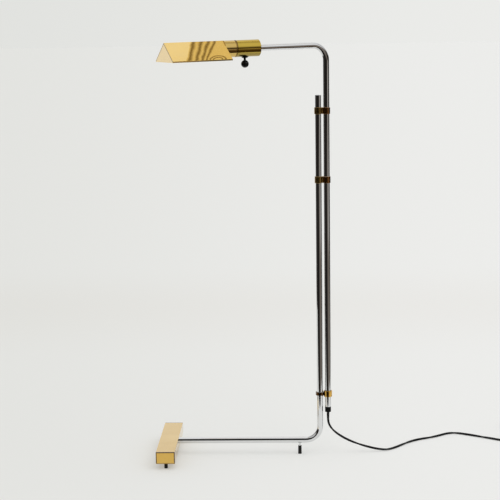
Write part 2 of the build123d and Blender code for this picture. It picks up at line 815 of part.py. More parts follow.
# Black bushing that the switch spindle turns in, saddled on the cover
knob_down = -arm_side.y_dir
knob_side = Plane(knob_axis.position, x_dir=arm_direction, z_dir=-near_direction)
bushing_bottom = cover_radius + bushing_stand
bushing_bore = knob_stem_diameter / 2 + running_clearance
with BuildPart() as switch_bushing:
    with BuildSketch(knob_side):
        with BuildLine():
            Polyline(
                (0, -cover_bore_radius),
                (bushing_flange_diameter / 2, -cover_bore_radius),
                (bushing_flange_diameter / 2, -cover_radius),
                (bushing_tip_diameter / 2, -bushing_bottom),
                (0, -bushing_bottom),
                close=True,
            )
        make_face()
    revolve(axis=knob_axis)
    with BuildSketch(arm_station(knob_station - bushing_flange_diameter)):
        Circle(cover_radius + seat_clearance)
    extrude(amount=2 * bushing_flange_diameter, mode=Mode.SUBTRACT)
    with BuildSketch(
        Plane(
            knob_axis.position + knob_down * (holder_diameter / 2 + press_gap),
            x_dir=arm_direction,
            z_dir=knob_down,
        )
    ):
        Circle(bushing_neck_diameter / 2)
    extrude(amount=bushing_bottom - holder_diameter / 2 - press_gap)
    with BuildSketch(Plane(knob_axis.position, x_dir=arm_direction, z_dir=knob_down)):
        Circle(bushing_bore)
    extrude(amount=bushing_bottom + cut_overrun, mode=Mode.SUBTRACT)
switch_bushing.part.label = "switch_bushing"
export_step(switch_bushing.part, "parts/switch_bushing.step")

# Switch spindle and its ball knob
stem_start = knob_stem_depth + press_gap
stem_end = knob_ball_drop - knob_ball_diameter / 2 + knob_seat_depth
with BuildPart() as knob_spindle:
    with BuildSketch(
        Plane(knob_axis.position + knob_down * stem_start, x_dir=arm_direction, z_dir=knob_down)
    ):
        Circle(knob_stem_diameter / 2)
    extrude(amount=stem_end - stem_start)
knob_spindle.part.label = "knob_spindle"
export_step(knob_spindle.part, "parts/knob_spindle.step")

with BuildPart() as knob_ball:
    with BuildSketch(knob_side):
        with BuildLine():
            CenterArc((0, -knob_ball_drop), knob_ball_diameter / 2, -90, 180)
            Line(
                (0, -knob_ball_drop + knob_ball_diameter / 2),
                (0, -knob_ball_drop - knob_ball_diameter / 2),
            )
        make_face()
    revolve(axis=knob_axis)
    with BuildSketch(Plane(knob_axis.position, x_dir=arm_direction, z_dir=knob_down)):
        Circle(knob_stem_diameter / 2 + seat_clearance)
    extrude(amount=stem_end, mode=Mode.SUBTRACT)
knob_ball.part.label = "knob_ball"
export_step(knob_ball.part, "parts/knob_ball.step")

# Swivel sleeve fixed in the cover's mouth, with a groove for the snap ring
sleeve_radius = cover_bore_radius - running_clearance
sleeve_start = cover_end - swivel_grip
sleeve_end = cover_end + swivel_overlap
snap_start = sleeve_end - snap_ring_inset
snap_end = snap_start + snap_ring_width
snap_inner_radius = sleeve_radius - snap_ring_depth
snap_outer_radius = cover_bore_radius + snap_ring_depth
with BuildPart() as swivel_sleeve:
    with BuildSketch(arm_side):
        with BuildLine():
            Polyline(
                (sleeve_start, sleeve_radius - swivel_wall),
                (sleeve_start, sleeve_radius),
                (snap_start, sleeve_radius),
                (snap_start, snap_inner_radius),
                (snap_end, snap_inner_radius),
                (snap_end, sleeve_radius),
                (sleeve_end, sleeve_radius),
                (sleeve_end, sleeve_radius - swivel_wall),
                close=True,
            )
        make_face()
    revolve(axis=arm_axis)
swivel_sleeve.part.label = "swivel_sleeve"
export_step(swivel_sleeve.part, "parts/swivel_sleeve.step")

with BuildPart() as snap_ring:
    with BuildSketch(arm_station(snap_start + running_clearance)):
        Circle(snap_outer_radius)
        Circle(snap_inner_radius + seat_clearance, mode=Mode.SUBTRACT)
    extrude(amount=snap_ring_width - 2 * running_clearance)
snap_ring.part.label = "snap_ring"
export_step(snap_ring.part, "parts/snap_ring.step")

# Collar that turns on the sleeve and carries the shade
lamp_hole_radius = lamp_hole_diameter / 2
collar_bore_radius = cover_bore_radius
collar_groove_radius = snap_outer_radius + running_clearance
with BuildPart() as shade_collar:
    with BuildSketch(arm_side):
        with BuildLine():
            Polyline(
                (collar_start, collar_bore_radius),
                (collar_start, cover_radius),
                (collar_end, cover_radius),
                (collar_end, lamp_hole_radius),
                (collar_end - collar_base, lamp_hole_radius),
                (collar_end - collar_base, collar_bore_radius),
                (snap_end + running_clearance, collar_bore_radius),
                (snap_end + running_clearance, collar_groove_radius),
                (snap_start - running_clearance, collar_groove_radius),
                (snap_start - running_clearance, collar_bore_radius),
                close=True,
            )
        make_face()
    revolve(axis=arm_axis)
    rivet_ring_radius = (lamp_hole_radius + collar_bore_radius) / 2
    rivet_angles = [
        -90 + rivet_spread_degrees * (index - (rivet_count - 1) / 2) for index in range(rivet_count)
    ]
    rivet_places = [
        (
            rivet_ring_radius * math.cos(math.radians(angle)),
            rivet_ring_radius * math.sin(math.radians(angle)),
        )
        for angle in rivet_angles
    ]
    with BuildSketch(arm_station(collar_end - collar_base)):
        with Locations(*rivet_places):
            Circle(rivet_shank_diameter / 2 + seat_clearance)
    extrude(amount=collar_base, mode=Mode.SUBTRACT)
shade_collar.part.label = "shade_collar"
export_step(shade_collar.part, "parts/shade_collar.step")

# Tent of the shade: one folded sheet with a short upright hem along each lower edge
half_width = shade_width / 2
panel_drop = shade_height - shade_hem
panel_slope = math.atan2(panel_drop, half_width)
inner_ridge = shade_ridge - shade_sheet / math.cos(panel_slope)
inner_half_width = half_width - shade_sheet
inner_knee = inner_ridge - inner_half_width * math.tan(panel_slope)
outer_knee = shade_ridge - panel_drop
with BuildPart() as shade_tent:
    with BuildSketch(arm_station(collar_end)):
        with BuildLine():
            Polyline(
                (-half_width, shade_base),
                (-half_width, outer_knee),
                (0, shade_ridge),
                (half_width, outer_knee),
                (half_width, shade_base),
                (inner_half_width, shade_base),
                (inner_half_width, inner_knee),
                (0, inner_ridge),
                (-inner_half_width, inner_knee),
                (-inner_half_width, shade_base),
                close=True,
            )
        make_face()
    extrude(amount=shade_length)
shade_tent.part.label = "shade_tent"
export_step(shade_tent.part, "parts/shade_tent.step")

# Closed ends of the shade, flush inside the tent; the inner one has the lamp hole
plate_gap = running_clearance
plate_ridge = inner_ridge - plate_gap / math.cos(panel_slope)
plate_half_width = inner_half_width - plate_gap
plate_knee = plate_ridge - plate_half_width * math.tan(panel_slope)
for plate_name, plate_start, has_lamp_hole in (
    ("inner", collar_end, True),
    ("outer", collar_end + shade_length - shade_end_sheet, False),
):
    with BuildPart() as shade_end:
        with BuildSketch(arm_station(plate_start)):
            with BuildLine():
                Polyline(
                    (-plate_half_width, shade_base),
                    (-plate_half_width, plate_knee),
                    (0, plate_ridge),
                    (plate_half_width, plate_knee),
                    (plate_half_width, shade_base),
                    close=True,
                )
            make_face()
            if has_lamp_hole:
                Circle(lamp_hole_radius, mode=Mode.SUBTRACT)
                with Locations(*rivet_places):
                    Circle(rivet_shank_diameter / 2 + seat_clearance, mode=Mode.SUBTRACT)
        extrude(amount=shade_end_sheet)
    shade_end.part.label = f"shade_end_{plate_name}"
    export_step(shade_end.part, f"parts/shade_end_{plate_name}.step")

# Rivets through the collar's base and the inner end plate
with BuildPart() as collar_rivets:
    with BuildSketch(arm_station(collar_end - collar_base - rivet_head_height)):
        with Locations(*rivet_places):
            Circle(rivet_head_diameter / 2)
    extrude(amount=rivet_head_height)
    with BuildSketch(arm_station(collar_end - collar_base)):
        with Locations(*rivet_places):
            Circle(rivet_shank_diameter / 2)
    extrude(amount=collar_base + shade_end_sheet)
    with BuildSketch(arm_station(collar_end + shade_end_sheet)):
        with Locations(*rivet_places):
            Circle(rivet_head_diameter / 2)
    extrude(amount=rivet_head_height)
collar_rivets.part.label = "collar_rivets"
export_step(collar_rivets.part, "parts/collar_rivets.step")

# Mains cord from the strain relief, down to the floor and away to its coil
route_radii = cord_radii(cord_route)
print("cord radii", [round(radius) for radius in route_radii])
with BuildPart() as power_cord:
    with BuildLine() as cord_run:
        FilletPolyline(*cord_route, radius=route_radii)
    with BuildSketch(Plane(cord_route[0], z_dir=cord_run.line % 0)):
        Circle(cord_radius)
    sweep(path=cord_run.line)
power_cord.part.label = "power_cord"
export_step(power_cord.part, "parts/power_cord.step")
report_cord("power_cord", cord_run.wire(), power_cord.part)

# Put-away coil: it spirals in on the floor, climbs one layer and spirals out again
coil_step = cord_diameter + coil_gap
half_turns = 2 * coil_turns_per_layer
inner_coil_radius = coil_radius - half_turns * coil_step / 2
heading = (Vector(cord_route[-1]) - Vector(cord_route[-2])).normalized()
to_centre = Vector(-heading.Y, heading.X, 0)
coil_centre = Vector(cord_route[-1]) + heading * cord_diameter + to_centre * coil_radius
coil_plane = Plane(coil_centre, x_dir=-to_centre, z_dir=(0, 0, 1))


def coil_point(across, along, up):
    """A point of the coil from its centre, across and along the arriving cord's heading."""
    return coil_plane.from_local_coords(Vector(across, along, up))


with BuildPart() as cord_coil:
    with BuildLine() as coil_run:
        Line(coil_point(coil_radius, -cord_diameter, 0), coil_point(coil_radius, 0, 0))
        for index in range(half_turns):
            side = (-1) ** index
            start_radius = coil_radius - index * coil_step / 2
            TangentArc(
                coil_point(side * start_radius, 0, 0),
                coil_point(-side * (start_radius - coil_step / 2), 0, 0),
                tangent=heading * side,
            )
        climb_top = coil_point(0, math.hypot(inner_coil_radius, coil_step / 2), coil_step / 2)
        TangentArc(coil_point(inner_coil_radius, 0, 0), climb_top, tangent=heading)
        TangentArc(
            climb_top,
            coil_point(-inner_coil_radius, 0, coil_step),
            tangent=to_centre * inner_coil_radius + Vector(0, 0, coil_step / 2),
        )
        for index in range(half_turns):
            side = (-1) ** (index + 1)
            start_radius = inner_coil_radius + index * coil_step / 2
            TangentArc(
                coil_point(side * start_radius, 0, coil_step),
                coil_point(-side * (start_radius + coil_step / 2), 0, coil_step),
                tangent=heading * side,
            )
        Line(
            coil_point(-coil_radius, 0, coil_step),
            coil_point(-coil_radius, -cord_diameter, coil_step),
        )
    with BuildSketch(Plane(coil_run.line @ 0, z_dir=coil_run.line % 0)):
        Circle(cord_radius)
    sweep(path=coil_run.line)
cord_coil.part.label = "cord_coil"
export_step(cord_coil.part, "parts/cord_coil.step")
report_cord("cord_coil", coil_run.wire(), cord_coil.part)
print("coil least self-gap", round(least_self_gap(coil_run.wire(), cord_diameter), 2))

# Short tail from the coil's upper layer to the plug
tail_start = coil_run.wire() @ 1
tail_heading = coil_run.wire() % 1
tail_corner = tail_start + tail_heading * tail_runs[0]
plug_heading = tail_heading.rotate(Axis.Z, -tail_turn_degrees)
tail_route = [tail_start, tail_corner, tail_corner + plug_heading * tail_runs[1]]
tail_radii = cord_radii(tail_route)
print("tail radii", [round(radius) for radius in tail_radii])
with BuildPart() as cord_tail:
    with BuildLine() as tail_run:
        FilletPolyline(*tail_route, radius=tail_radii)
    with BuildSketch(Plane(tail_start, z_dir=tail_heading)):
        Circle(cord_radius)
    sweep(path=tail_run.line)
cord_tail.part.label = "cord_tail"
export_step(cord_tail.part, "parts/cord_tail.step")
report_cord("cord_tail", tail_run.wire(), cord_tail.part)

# Two-blade plug, lying flat beside the coil
plug_plane = Plane(
    tail_route[-1], x_dir=Vector(-plug_heading.Y, plug_heading.X, 0), z_dir=plug_heading
)
plug_thickness = 2 * tail_route[-1].Z
with BuildPart() as plug_body:
    with BuildSketch(plug_plane):
        Circle(plug_neck_radius)
    extrude(amount=plug_neck_length + plug_corner)
    with BuildSketch(plug_plane.offset(plug_neck_length)):
        RectangleRounded(plug_width, plug_thickness, plug_corner)
    extrude(amount=plug_length)
    with BuildSketch(plug_plane.offset(plug_neck_length + plug_length)):
        with GridLocations(blade_spacing, 0, 2, 1):
            Rectangle(blade_thickness + 2 * seat_clearance, blade_width + 2 * seat_clearance)
    extrude(amount=-blade_root, mode=Mode.SUBTRACT)
plug_body.part.label = "plug_body"
export_step(plug_body.part, "parts/plug_body.step")

with BuildPart() as plug_blades:
    with BuildSketch(plug_plane.offset(plug_neck_length + plug_length - blade_root)):
        with GridLocations(blade_spacing, 0, 2, 1):
            Rectangle(blade_thickness, blade_width)
    extrude(amount=blade_root + blade_length)
    tip_faces = plug_blades.faces().sort_by(Axis(tail_route[-1], plug_heading))[-2:]
    chamfer(tip_faces.edges(), blade_tip_bevel)
plug_blades.part.label = "plug_blades"
export_step(plug_blades.part, "parts/plug_blades.step")
cord_runs = (cord_run, coil_run, tail_run)
print("cord length in all", round(sum(run.wire().length for run in cord_runs)))
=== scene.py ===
# %% [markdown]
# # A brass and chrome reading lamp
# The lamp stands on a brass bar and one small rear foot. A chrome tube runs from the bar to the
# posts, a second tube slides and swings beside it, and a tent shade hangs from the end of its arm.
# The engineering model brings the exact shapes and the joints. This script gives it its cord,
# its finishes, its fine detail and a studio, in metres and in the same frame as that model.

# %% Load the engineering model
import bpy
import bmesh
import json
import math
from mathutils import Matrix, Vector

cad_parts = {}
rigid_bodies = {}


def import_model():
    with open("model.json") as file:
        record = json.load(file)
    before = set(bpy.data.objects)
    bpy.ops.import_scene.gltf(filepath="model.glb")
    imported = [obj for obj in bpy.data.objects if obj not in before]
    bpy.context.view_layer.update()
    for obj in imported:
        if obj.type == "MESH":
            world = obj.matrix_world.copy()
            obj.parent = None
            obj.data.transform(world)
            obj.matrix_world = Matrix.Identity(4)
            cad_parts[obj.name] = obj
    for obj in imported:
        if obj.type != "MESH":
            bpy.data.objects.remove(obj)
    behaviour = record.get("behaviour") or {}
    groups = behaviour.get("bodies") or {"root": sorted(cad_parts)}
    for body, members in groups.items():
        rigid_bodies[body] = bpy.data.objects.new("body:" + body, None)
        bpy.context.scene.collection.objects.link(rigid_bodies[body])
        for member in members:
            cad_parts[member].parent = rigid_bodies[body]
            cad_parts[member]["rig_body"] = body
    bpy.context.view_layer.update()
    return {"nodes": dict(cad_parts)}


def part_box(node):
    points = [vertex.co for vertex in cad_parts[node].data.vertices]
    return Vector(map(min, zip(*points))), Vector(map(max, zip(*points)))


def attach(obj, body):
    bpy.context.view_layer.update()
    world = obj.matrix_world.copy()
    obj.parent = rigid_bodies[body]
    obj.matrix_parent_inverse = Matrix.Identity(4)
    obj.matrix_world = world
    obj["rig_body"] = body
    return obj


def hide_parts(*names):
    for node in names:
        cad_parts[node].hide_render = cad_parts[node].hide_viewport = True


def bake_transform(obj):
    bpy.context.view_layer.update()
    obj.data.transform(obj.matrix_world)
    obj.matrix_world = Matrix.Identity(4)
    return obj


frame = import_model()
nodes = frame["nodes"]

# %% [markdown]
# ## Camera
# The photograph was taken with a long lens from the front, a little above the lamp's middle and
# tipped slightly down. The numbers come from fitting a camera to the corners of the foot bar, the
# tubes and the head, so the script only has to turn them into a place and a rotation.

# %% Camera from the fitted numbers
camera_place = (-0.0017, -3.752, 1.148)
camera_heading = math.radians(1.889)
camera_tilt = math.radians(90.0 - 9.046)
camera_roll = math.radians(-0.826)
scene = bpy.context.scene
camera_data = bpy.data.cameras.new("photo_camera")
camera_data.sensor_width = 36.0
camera_data.lens = 104.84
camera_data.clip_end = 200.0
camera = bpy.data.objects.new("photo_camera", camera_data)
scene.collection.objects.link(camera)
heading = Matrix.Rotation(camera_heading, 4, "Z")
tilt = Matrix.Rotation(camera_tilt, 4, "X")
roll = Matrix.Rotation(camera_roll, 4, "Z")
camera.matrix_world = Matrix.Translation(camera_place) @ heading @ tilt @ roll
scene.camera = camera
print("camera", [round(v, 3) for v in camera.matrix_world.translation], "lens", camera_data.lens)

# %% [markdown]
# ## Cord
# A flat two-core flex leaves the strain relief, curves down to the floor and wanders off to the
# right. One smooth spline carries the whole cord. Its control points are the points of the route,
# then a loop that adds the turns of the put-away coil, then the short tail to the plug. The coil
# winds inwards on the floor, climbs onto itself and winds out again.

# %% Route of the cord in metres
cord_width = 0.006
route = [
    (0.0755, 0, 0.099), (0.0755, 0, 0.087), (0.081, 0.0005, 0.0735), (0.091, 0.0015, 0.061),
    (0.1045, 0.003, 0.05), (0.122, 0.0055, 0.0385), (0.146, 0.0085, 0.0265),
    (0.176, 0.0115, 0.0155), (0.206, 0.015, 0.007), (0.232, 0.02, 0.003), (0.255, 0.039, 0.003),
    (0.278, 0.069, 0.003), (0.302, 0.098, 0.003), (0.328, 0.118, 0.003), (0.357, 0.132, 0.003),
    (0.384, 0.151, 0.003), (0.404, 0.169, 0.003), (0.42, 0.1765, 0.003), (0.436, 0.175, 0.003),
    (0.455, 0.1655, 0.003), (0.48, 0.15, 0.003), (0.506, 0.1325, 0.003), (0.531, 0.116, 0.003),
    (0.556, 0.098, 0.003), (0.571, 0.088, 0.003),
]
route = [Vector(point) for point in route]
print("route points", len(route))

# %% Turns of the coil
coil_radius = 0.0456
coil_step = 0.0077
half_turns = 6
points_per_half_turn = 8
run_direction = (route[-1] - route[-2]).normalized()
to_centre = Vector((-run_direction.y, run_direction.x, 0))
coil_centre = route[-1] + run_direction * cord_width + to_centre * coil_radius


def coil_direction(turned):
    """The direction from the coil's centre to the cord that has turned this far round it."""
    return -to_centre * math.cos(turned) + run_direction * math.sin(turned)


def coil_point(turned, radius, height):
    """A point of the coil, from how far the cord has turned round its centre."""
    return coil_centre + coil_direction(turned) * radius + Vector((0, 0, height))


coil_points = []
for index in range(half_turns * points_per_half_turn + 1):
    share = index / points_per_half_turn
    coil_points.append(coil_point(share * math.pi, coil_radius - share * coil_step / 2, 0))
inner_radius = coil_radius - half_turns * coil_step / 2
for index in range(1, points_per_half_turn):
    share = index / points_per_half_turn
    turned = (half_turns + share) * math.pi
    coil_points.append(coil_point(turned, inner_radius, share * coil_step))
for index in range(half_turns * points_per_half_turn + 1):
    share = index / points_per_half_turn
    turned = (half_turns + 1 + share) * math.pi
    coil_points.append(coil_point(turned, inner_radius + share * coil_step / 2, coil_step))
print("coil points", len(coil_points), "inner radius", round(inner_radius, 4))

# %% Tail from the coil to the plug
tail_run = 0.034
plug_run = 0.036
plug_turn = math.radians(-60.0)
coil_end = coil_points[-1] - run_direction * cord_width
plug_heading = Matrix.Rotation(plug_turn, 3, "Z") @ -run_direction
tail_corner = coil_end - run_direction * tail_run
plug_entry = tail_corner + plug_heading * plug_run
tail_points = [coil_end, tail_corner, plug_entry - plug_heading * plug_run / 3, plug_entry]
print("plug entry", [round(v, 4) for v in plug_entry])

# %% [markdown]
# ### From a line to a two-core flex
# The real flex is two round cores moulded side by side, so its section is a figure of eight, and
# it is never laid quite flat: it turns over slowly, which is why it looks wide in one place and
# narrow in the next. A round bevel can't show that. Here a small closed curve is the section, the
# tilt of each control point turns it, and the whole is made a mesh.

# %% One smooth spline through all the points
half_twist_length = 0.085
cord_points = route + coil_points + tail_points
line_data = bpy.data.curves.new("cord_line", "CURVE")
line_data.dimensions = "3D"
line_data.resolution_u = 8
spline = line_data.splines.new("NURBS")
spline.points.add(len(cord_points) - 1)
travelled = 0.0
for index, place in enumerate(cord_points):
    if index:
        travelled += (place - cord_points[index - 1]).length
    spline.points[index].co = (*place, 1.0)
    spline.points[index].tilt = travelled / half_twist_length * math.pi
spline.order_u = 3
spline.use_endpoint_u = True
line = bpy.data.objects.new("cord_line", line_data)
scene.collection.objects.link(line)


def mesh_of_line():
    """The cord's curve as a mesh, as it stands now."""
    bpy.context.view_layer.update()
    evaluated = line.evaluated_get(bpy.context.evaluated_depsgraph_get())
    return bpy.data.meshes.new_from_object(evaluated)


cord_path = [vertex.co.copy() for vertex in mesh_of_line().vertices]

# %% Section of the flex, two cores with a groove between
core_radius = 0.0026
core_offset = cord_width / 2 - core_radius
groove_thickness = 0.62
groove_steepness = 2.2
section_steps = 20
section_data = bpy.data.curves.new("flex_section", "CURVE")
section_data.dimensions = "2D"
section_spline = section_data.splines.new("POLY")
section_spline.points.add(section_steps - 1)
for index in range(section_steps):
    angle = 2 * math.pi * index / section_steps
    core_middle = math.copysign(core_offset, math.cos(angle))
    out_of_groove = min(1.0, abs(math.cos(angle)) * groove_steepness)
    thickness = groove_thickness + (1 - groove_thickness) * out_of_groove
    across = core_middle + core_radius * math.cos(angle)
    section_spline.points[index].co = (across, core_radius * thickness * math.sin(angle), 0, 1)
section_spline.use_cyclic_u = True
section = bpy.data.objects.new("flex_section", section_data)
scene.collection.objects.link(section)
line_data.bevel_mode = "OBJECT"
line_data.bevel_object = section
line_data.use_fill_caps = True
flex_mesh = mesh_of_line()
for used in (line, section):
    bpy.data.objects.remove(used)
print("flex points", len(flex_mesh.vertices))

# %% Clean mesh of the flex
flex_bm = bmesh.new()
flex_bm.from_mesh(flex_mesh)
bmesh.ops.remove_doubles(flex_bm, verts=flex_bm.verts, dist=0.00001)
bmesh.ops.recalc_face_normals(flex_bm, faces=flex_bm.faces)
for face in flex_bm.faces:
    face.smooth = len(face.verts) == 4
flex_bm.to_mesh(flex_mesh)
flex_bm.free()
flex_mesh.materials.clear()
flex = bpy.data.objects.new("twin_flex", flex_mesh)
scene.collection.objects.link(flex)
print("flex faces", len(flex_mesh.polygons))

# %% The flex hangs from the arm and lies on the floor
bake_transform(flex)
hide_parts("power_cord", "cord_coil", "cord_tail")

# %% [markdown]
# ## Floor and paper
# The photograph has a seamless pale ground with only faint shadows. The floor is one very large
# plane of a pale colour, with painted shading that makes it darker to the left and paler to the
# right; a band far behind the lamp is slightly darker and warmer. The chrome shows where the
# photographer's paper ended: it is bright low down and dark higher up. So the floor is hidden from
# reflections, and a smaller sheet that only reflections see ends a little in front of the lamp.

# %% Helpers for node trees
def add_node(tree, kind, **settings):
    """Adds a shader node; settings are its own properties."""
    node = tree.nodes.new("ShaderNode" + kind)
    for name, value in settings.items():
        setattr(node, name, value)
    return node


def feed(tree, node, socket, value):
    """Links a socket to another one, or sets it to a plain number, vector or colour."""
    if isinstance(value, bpy.types.NodeSocket):
        tree.links.new(value, node.inputs[socket])
    else:
        node.inputs[socket].default_value = value


def maths(tree, operation, *values):
    """A Math node with its inputs fed in order; gives its output."""
    node = add_node(tree, "Math", operation=operation)
    for index, value in enumerate(values):
        feed(tree, node, index, value)
    return node.outputs[0]


def vector_maths(tree, operation, *values, output="Vector"):
    """A Vector Math node with its inputs fed in order; gives the named output."""
    node = add_node(tree, "VectorMath", operation=operation)
    for index, value in enumerate(values):
        feed(tree, node, index, value)
    return node.outputs[output]


def linear(tree, value, start, change):
    """start, plus change times the value."""
    return maths(tree, "MULTIPLY_ADD", value, change, start)


def ramp(tree, value, low, high):
    """0 below low, 1 above high, with a smooth rise between them."""
    node = add_node(tree, "MapRange", interpolation_type="SMOOTHSTEP")
    feed(tree, node, "Value", value)
    feed(tree, node, "From Min", low)
    feed(tree, node, "From Max", high)
    return node.outputs["Result"]


def fall(tree, value, low, high):
    """1 below low, 0 above high, with a smooth fall between them."""
    return linear(tree, ramp(tree, value, low, high), 1.0, -1.0)


def window(tree, value, low, high, soft):
    """1 between low and high, 0 outside, with soft edges."""
    rising = ramp(tree, value, low - soft, low + soft)
    falling = ramp(tree, value, high - soft, high + soft)
    return maths(tree, "SUBTRACT", rising, falling)


def separate(tree, vector):
    """The three components of a vector."""
    node = add_node(tree, "SeparateXYZ")
    feed(tree, node, 0, vector)
    return [node.outputs[name] for name in "XYZ"]


def blend_colour(tree, share, first, second, blend_type="MIX"):
    """Mixes two colours by a share."""
    mix = add_node(tree, "MixRGB", blend_type=blend_type)
    feed(tree, mix, "Fac", share)
    feed(tree, mix, "Color1", (*first, 1) if isinstance(first, tuple) else first)
    feed(tree, mix, "Color2", (*second, 1) if isinstance(second, tuple) else second)
    return mix.outputs[0]


def coloured(tree, kind, colour):
    """A plain shader of one colour; gives its output."""
    node = add_node(tree, kind)
    feed(tree, node, "Color", colour)
    return node.outputs[0]


def mix_shaders(tree, share, first, second):
    """Mixes two shaders by a share."""
    mix = add_node(tree, "MixShader")
    for socket, value in enumerate((share, first, second)):
        feed(tree, mix, socket, value)
    return mix.outputs[0]

# %% Colour of the pale ground
view_spread = 0.1717
view_at_lamp = 0.644
shading_ends = (-1.6, 0.9)
far_band_span = (1.5, 2.5, 0.5)
far_band_share = 0.7
floor_material = bpy.data.materials.new("pale_ground")
floor_material.use_nodes = True
tree = floor_material.node_tree
tree.nodes.clear()
place = add_node(tree, "TexCoord").outputs["Object"]
x, y = separate(tree, place)[:2]
reach = vector_maths(tree, "LENGTH", place, output="Value")
half_view = linear(tree, reach, view_at_lamp, view_spread)
# Painted shading: the ground is darker to the left and paler to the right of the view.
across = ramp(tree, maths(tree, "DIVIDE", x, half_view), *shading_ends)
ground_tone_and_shading = blend_colour(tree, across, (0.757, 0.761, 0.734), (0.835, 0.837, 0.820))
far_band = maths(tree, "MULTIPLY", window(tree, y, *far_band_span), far_band_share)
ground_tone_and_shading = blend_colour(tree, far_band, ground_tone_and_shading, (0.972, 0.960, 0.948), "MULTIPLY")
print("ground tones end at", shading_ends, "of half the view")

# %% Paler shadows for the camera
shadow_relief = 0.4
camera_ray = add_node(tree, "LightPath").outputs["Is Camera Ray"]
relief_share = maths(tree, "MULTIPLY", camera_ray, shadow_relief)
ground = mix_shaders(tree, relief_share, coloured(tree, "BsdfDiffuse", ground_tone_and_shading),
                     coloured(tree, "Emission", ground_tone_and_shading))
feed(tree, add_node(tree, "OutputMaterial"), "Surface", ground)
print("shadows made paler by", shadow_relief)

# %% Floor and the paper that reflections see
def piece_from(piece_bm, name, crisp_above=None):
    """Makes a bmesh an object. With an angle it is smooth, but crisp at edges sharper than that."""
    for face in piece_bm.faces:
        face.smooth = crisp_above is not None
    mesh = bpy.data.meshes.new(name)
    piece_bm.to_mesh(mesh)
    piece_bm.free()
    if crisp_above is not None:
        mesh.set_sharp_from_angle(angle=math.radians(crisp_above))
    made = bpy.data.objects.new(name, mesh)
    scene.collection.objects.link(made)
    return made


def flat_sheet(name, low, high, height):
    """A flat rectangle on the floor between two corners."""
    sheet_bm = bmesh.new()
    bmesh.ops.create_grid(sheet_bm, x_segments=1, y_segments=1, size=0.5)
    bmesh.ops.scale(sheet_bm, vec=(high[0] - low[0], high[1] - low[1], 1), verts=sheet_bm.verts)
    middle = ((low[0] + high[0]) / 2, (low[1] + high[1]) / 2, height)
    bmesh.ops.translate(sheet_bm, vec=middle, verts=sheet_bm.verts)
    made = piece_from(sheet_bm, name)
    made.data.materials.append(floor_material)
    return made


floor = flat_sheet("floor", (-60, -60), (60, 60), -0.0002)
floor.visible_glossy = False
paper = flat_sheet("paper", (-1.9, -0.47), (0.74, 3.5), -0.0001)
paper_turn = Matrix.Rotation(math.radians(-5.0), 4, "Z")
paper.data.transform(paper_turn)
paper.visible_camera = False
paper.visible_diffuse = False
paper.visible_shadow = False
paper.visible_transmission = False
print("floor and paper laid")

# %% [markdown]
# ## Studio light
# Polished metal has no colour of its own, it shows the room. The tubes tell what the room was: a
# dark studio on the camera's side, a large soft light at the right, a pale wall behind and a pale
# ceiling. The world paints that room for reflections only. Everything matt gets a plain even light
# from the world and one very soft sun, which leaves the faint shadow under the bar and the cord.
#
# Directions are measured in degrees: round the lamp from the camera's side, with the right as plus
# and straight behind as 180, and up from level. A span or a rise says where a part of the room
# starts and ends and how soft its ends are. A level says how bright it is.

# %% Directions of the room
world = bpy.data.worlds.new("studio")
scene.world = world
world.use_nodes = True
tree = world.node_tree
tree.nodes.clear()
one_radian = math.degrees(1.0)
direction = add_node(tree, "TexCoord").outputs["Generated"]
x, y, z = separate(tree, direction)
round_lamp = maths(tree, "ARCTAN2", x, maths(tree, "MULTIPLY", y, -1.0))
round_lamp = maths(tree, "MULTIPLY", round_lamp, one_radian)
height = maths(tree, "MULTIPLY", maths(tree, "ARCSINE", z), one_radian)
either_side = maths(tree, "ABSOLUTE", round_lamp)


def part_of_room(span, rise):
    """1 inside a span round the lamp and a rise above level, 0 elsewhere."""
    return maths(tree, "MULTIPLY", window(tree, round_lamp, *span), window(tree, height, *rise))


print("room measured in degrees")

# %% Glows that add up in the dark studio
darkest = 0.014
light_edge = maths(tree, "SUBTRACT", ramp(tree, height, 3, 32), ramp(tree, height, 67, 73))
glows = {
    "soft light": (0.85, maths(tree, "MULTIPLY", window(tree, round_lamp, 24, 84, 5), light_edge)),
    "low glow": (0.13, part_of_room((9, 46, 6), (-30, -5, 2))),
    "band above it": (0.32, part_of_room((42, 82, 5), (-9, -1.4, 0.8))),
    "right wall": (0.17, part_of_room((48, 104, 6), (-20, -9, 2.5))),
    "left wall": (0.03, window(tree, round_lamp, -104, -60, 12)),
}
room = darkest
for level, glow in glows.values():
    room = linear(tree, glow, room, level)
print("glows:", ", ".join(glows))

# %% Pale walls and ceiling that outshine them
side_walls = maths(tree, "ADD", window(tree, round_lamp, -128, -30, 10),
                   window(tree, round_lamp, 84, 124, 8))
side_walls = maths(tree, "MULTIPLY", side_walls, ramp(tree, height, 10, 30))
dim_share = 0.9
dim_right = maths(tree, "MULTIPLY", ramp(tree, round_lamp, 96, 108), fall(tree, height, 2, 9))
back_wall = maths(tree, "MULTIPLY", ramp(tree, either_side, 120, 136),
                  linear(tree, dim_right, 1.0, -dim_share))
back_top = maths(tree, "MULTIPLY", ramp(tree, either_side, 96, 118), ramp(tree, height, 38, 58))
pale_parts = {
    "side walls": (0.55, side_walls),
    "ceiling": (0.62, ramp(tree, height, 52, 64)),
    "back wall": (0.84, back_wall),
    "top of the back wall": (1.0, back_top),
    "overhead": (0.9, ramp(tree, height, 71, 81)),
}
for level, pale_part in pale_parts.values():
    room = maths(tree, "MAXIMUM", room, maths(tree, "MULTIPLY", pale_part, level))
print("pale parts:", ", ".join(pale_parts))

# %% Dark corner and warm shadows of the room
corner_share = 0.6
dark_corner = part_of_room((-152, -112, 6), (6, 74, 7))
room = maths(tree, "MULTIPLY", room, linear(tree, dark_corner, 1.0, -corner_share))
room = blend_colour(tree, fall(tree, room, 0.1, 0.5), room, (1.0, 0.89, 0.78), "MULTIPLY")
brown_glow = part_of_room((40, 58, 4), (-62, 4, 2))
room = blend_colour(tree, brown_glow, room, (0.048, 0.024, 0.006), "ADD")
print("dark corner takes", corner_share)

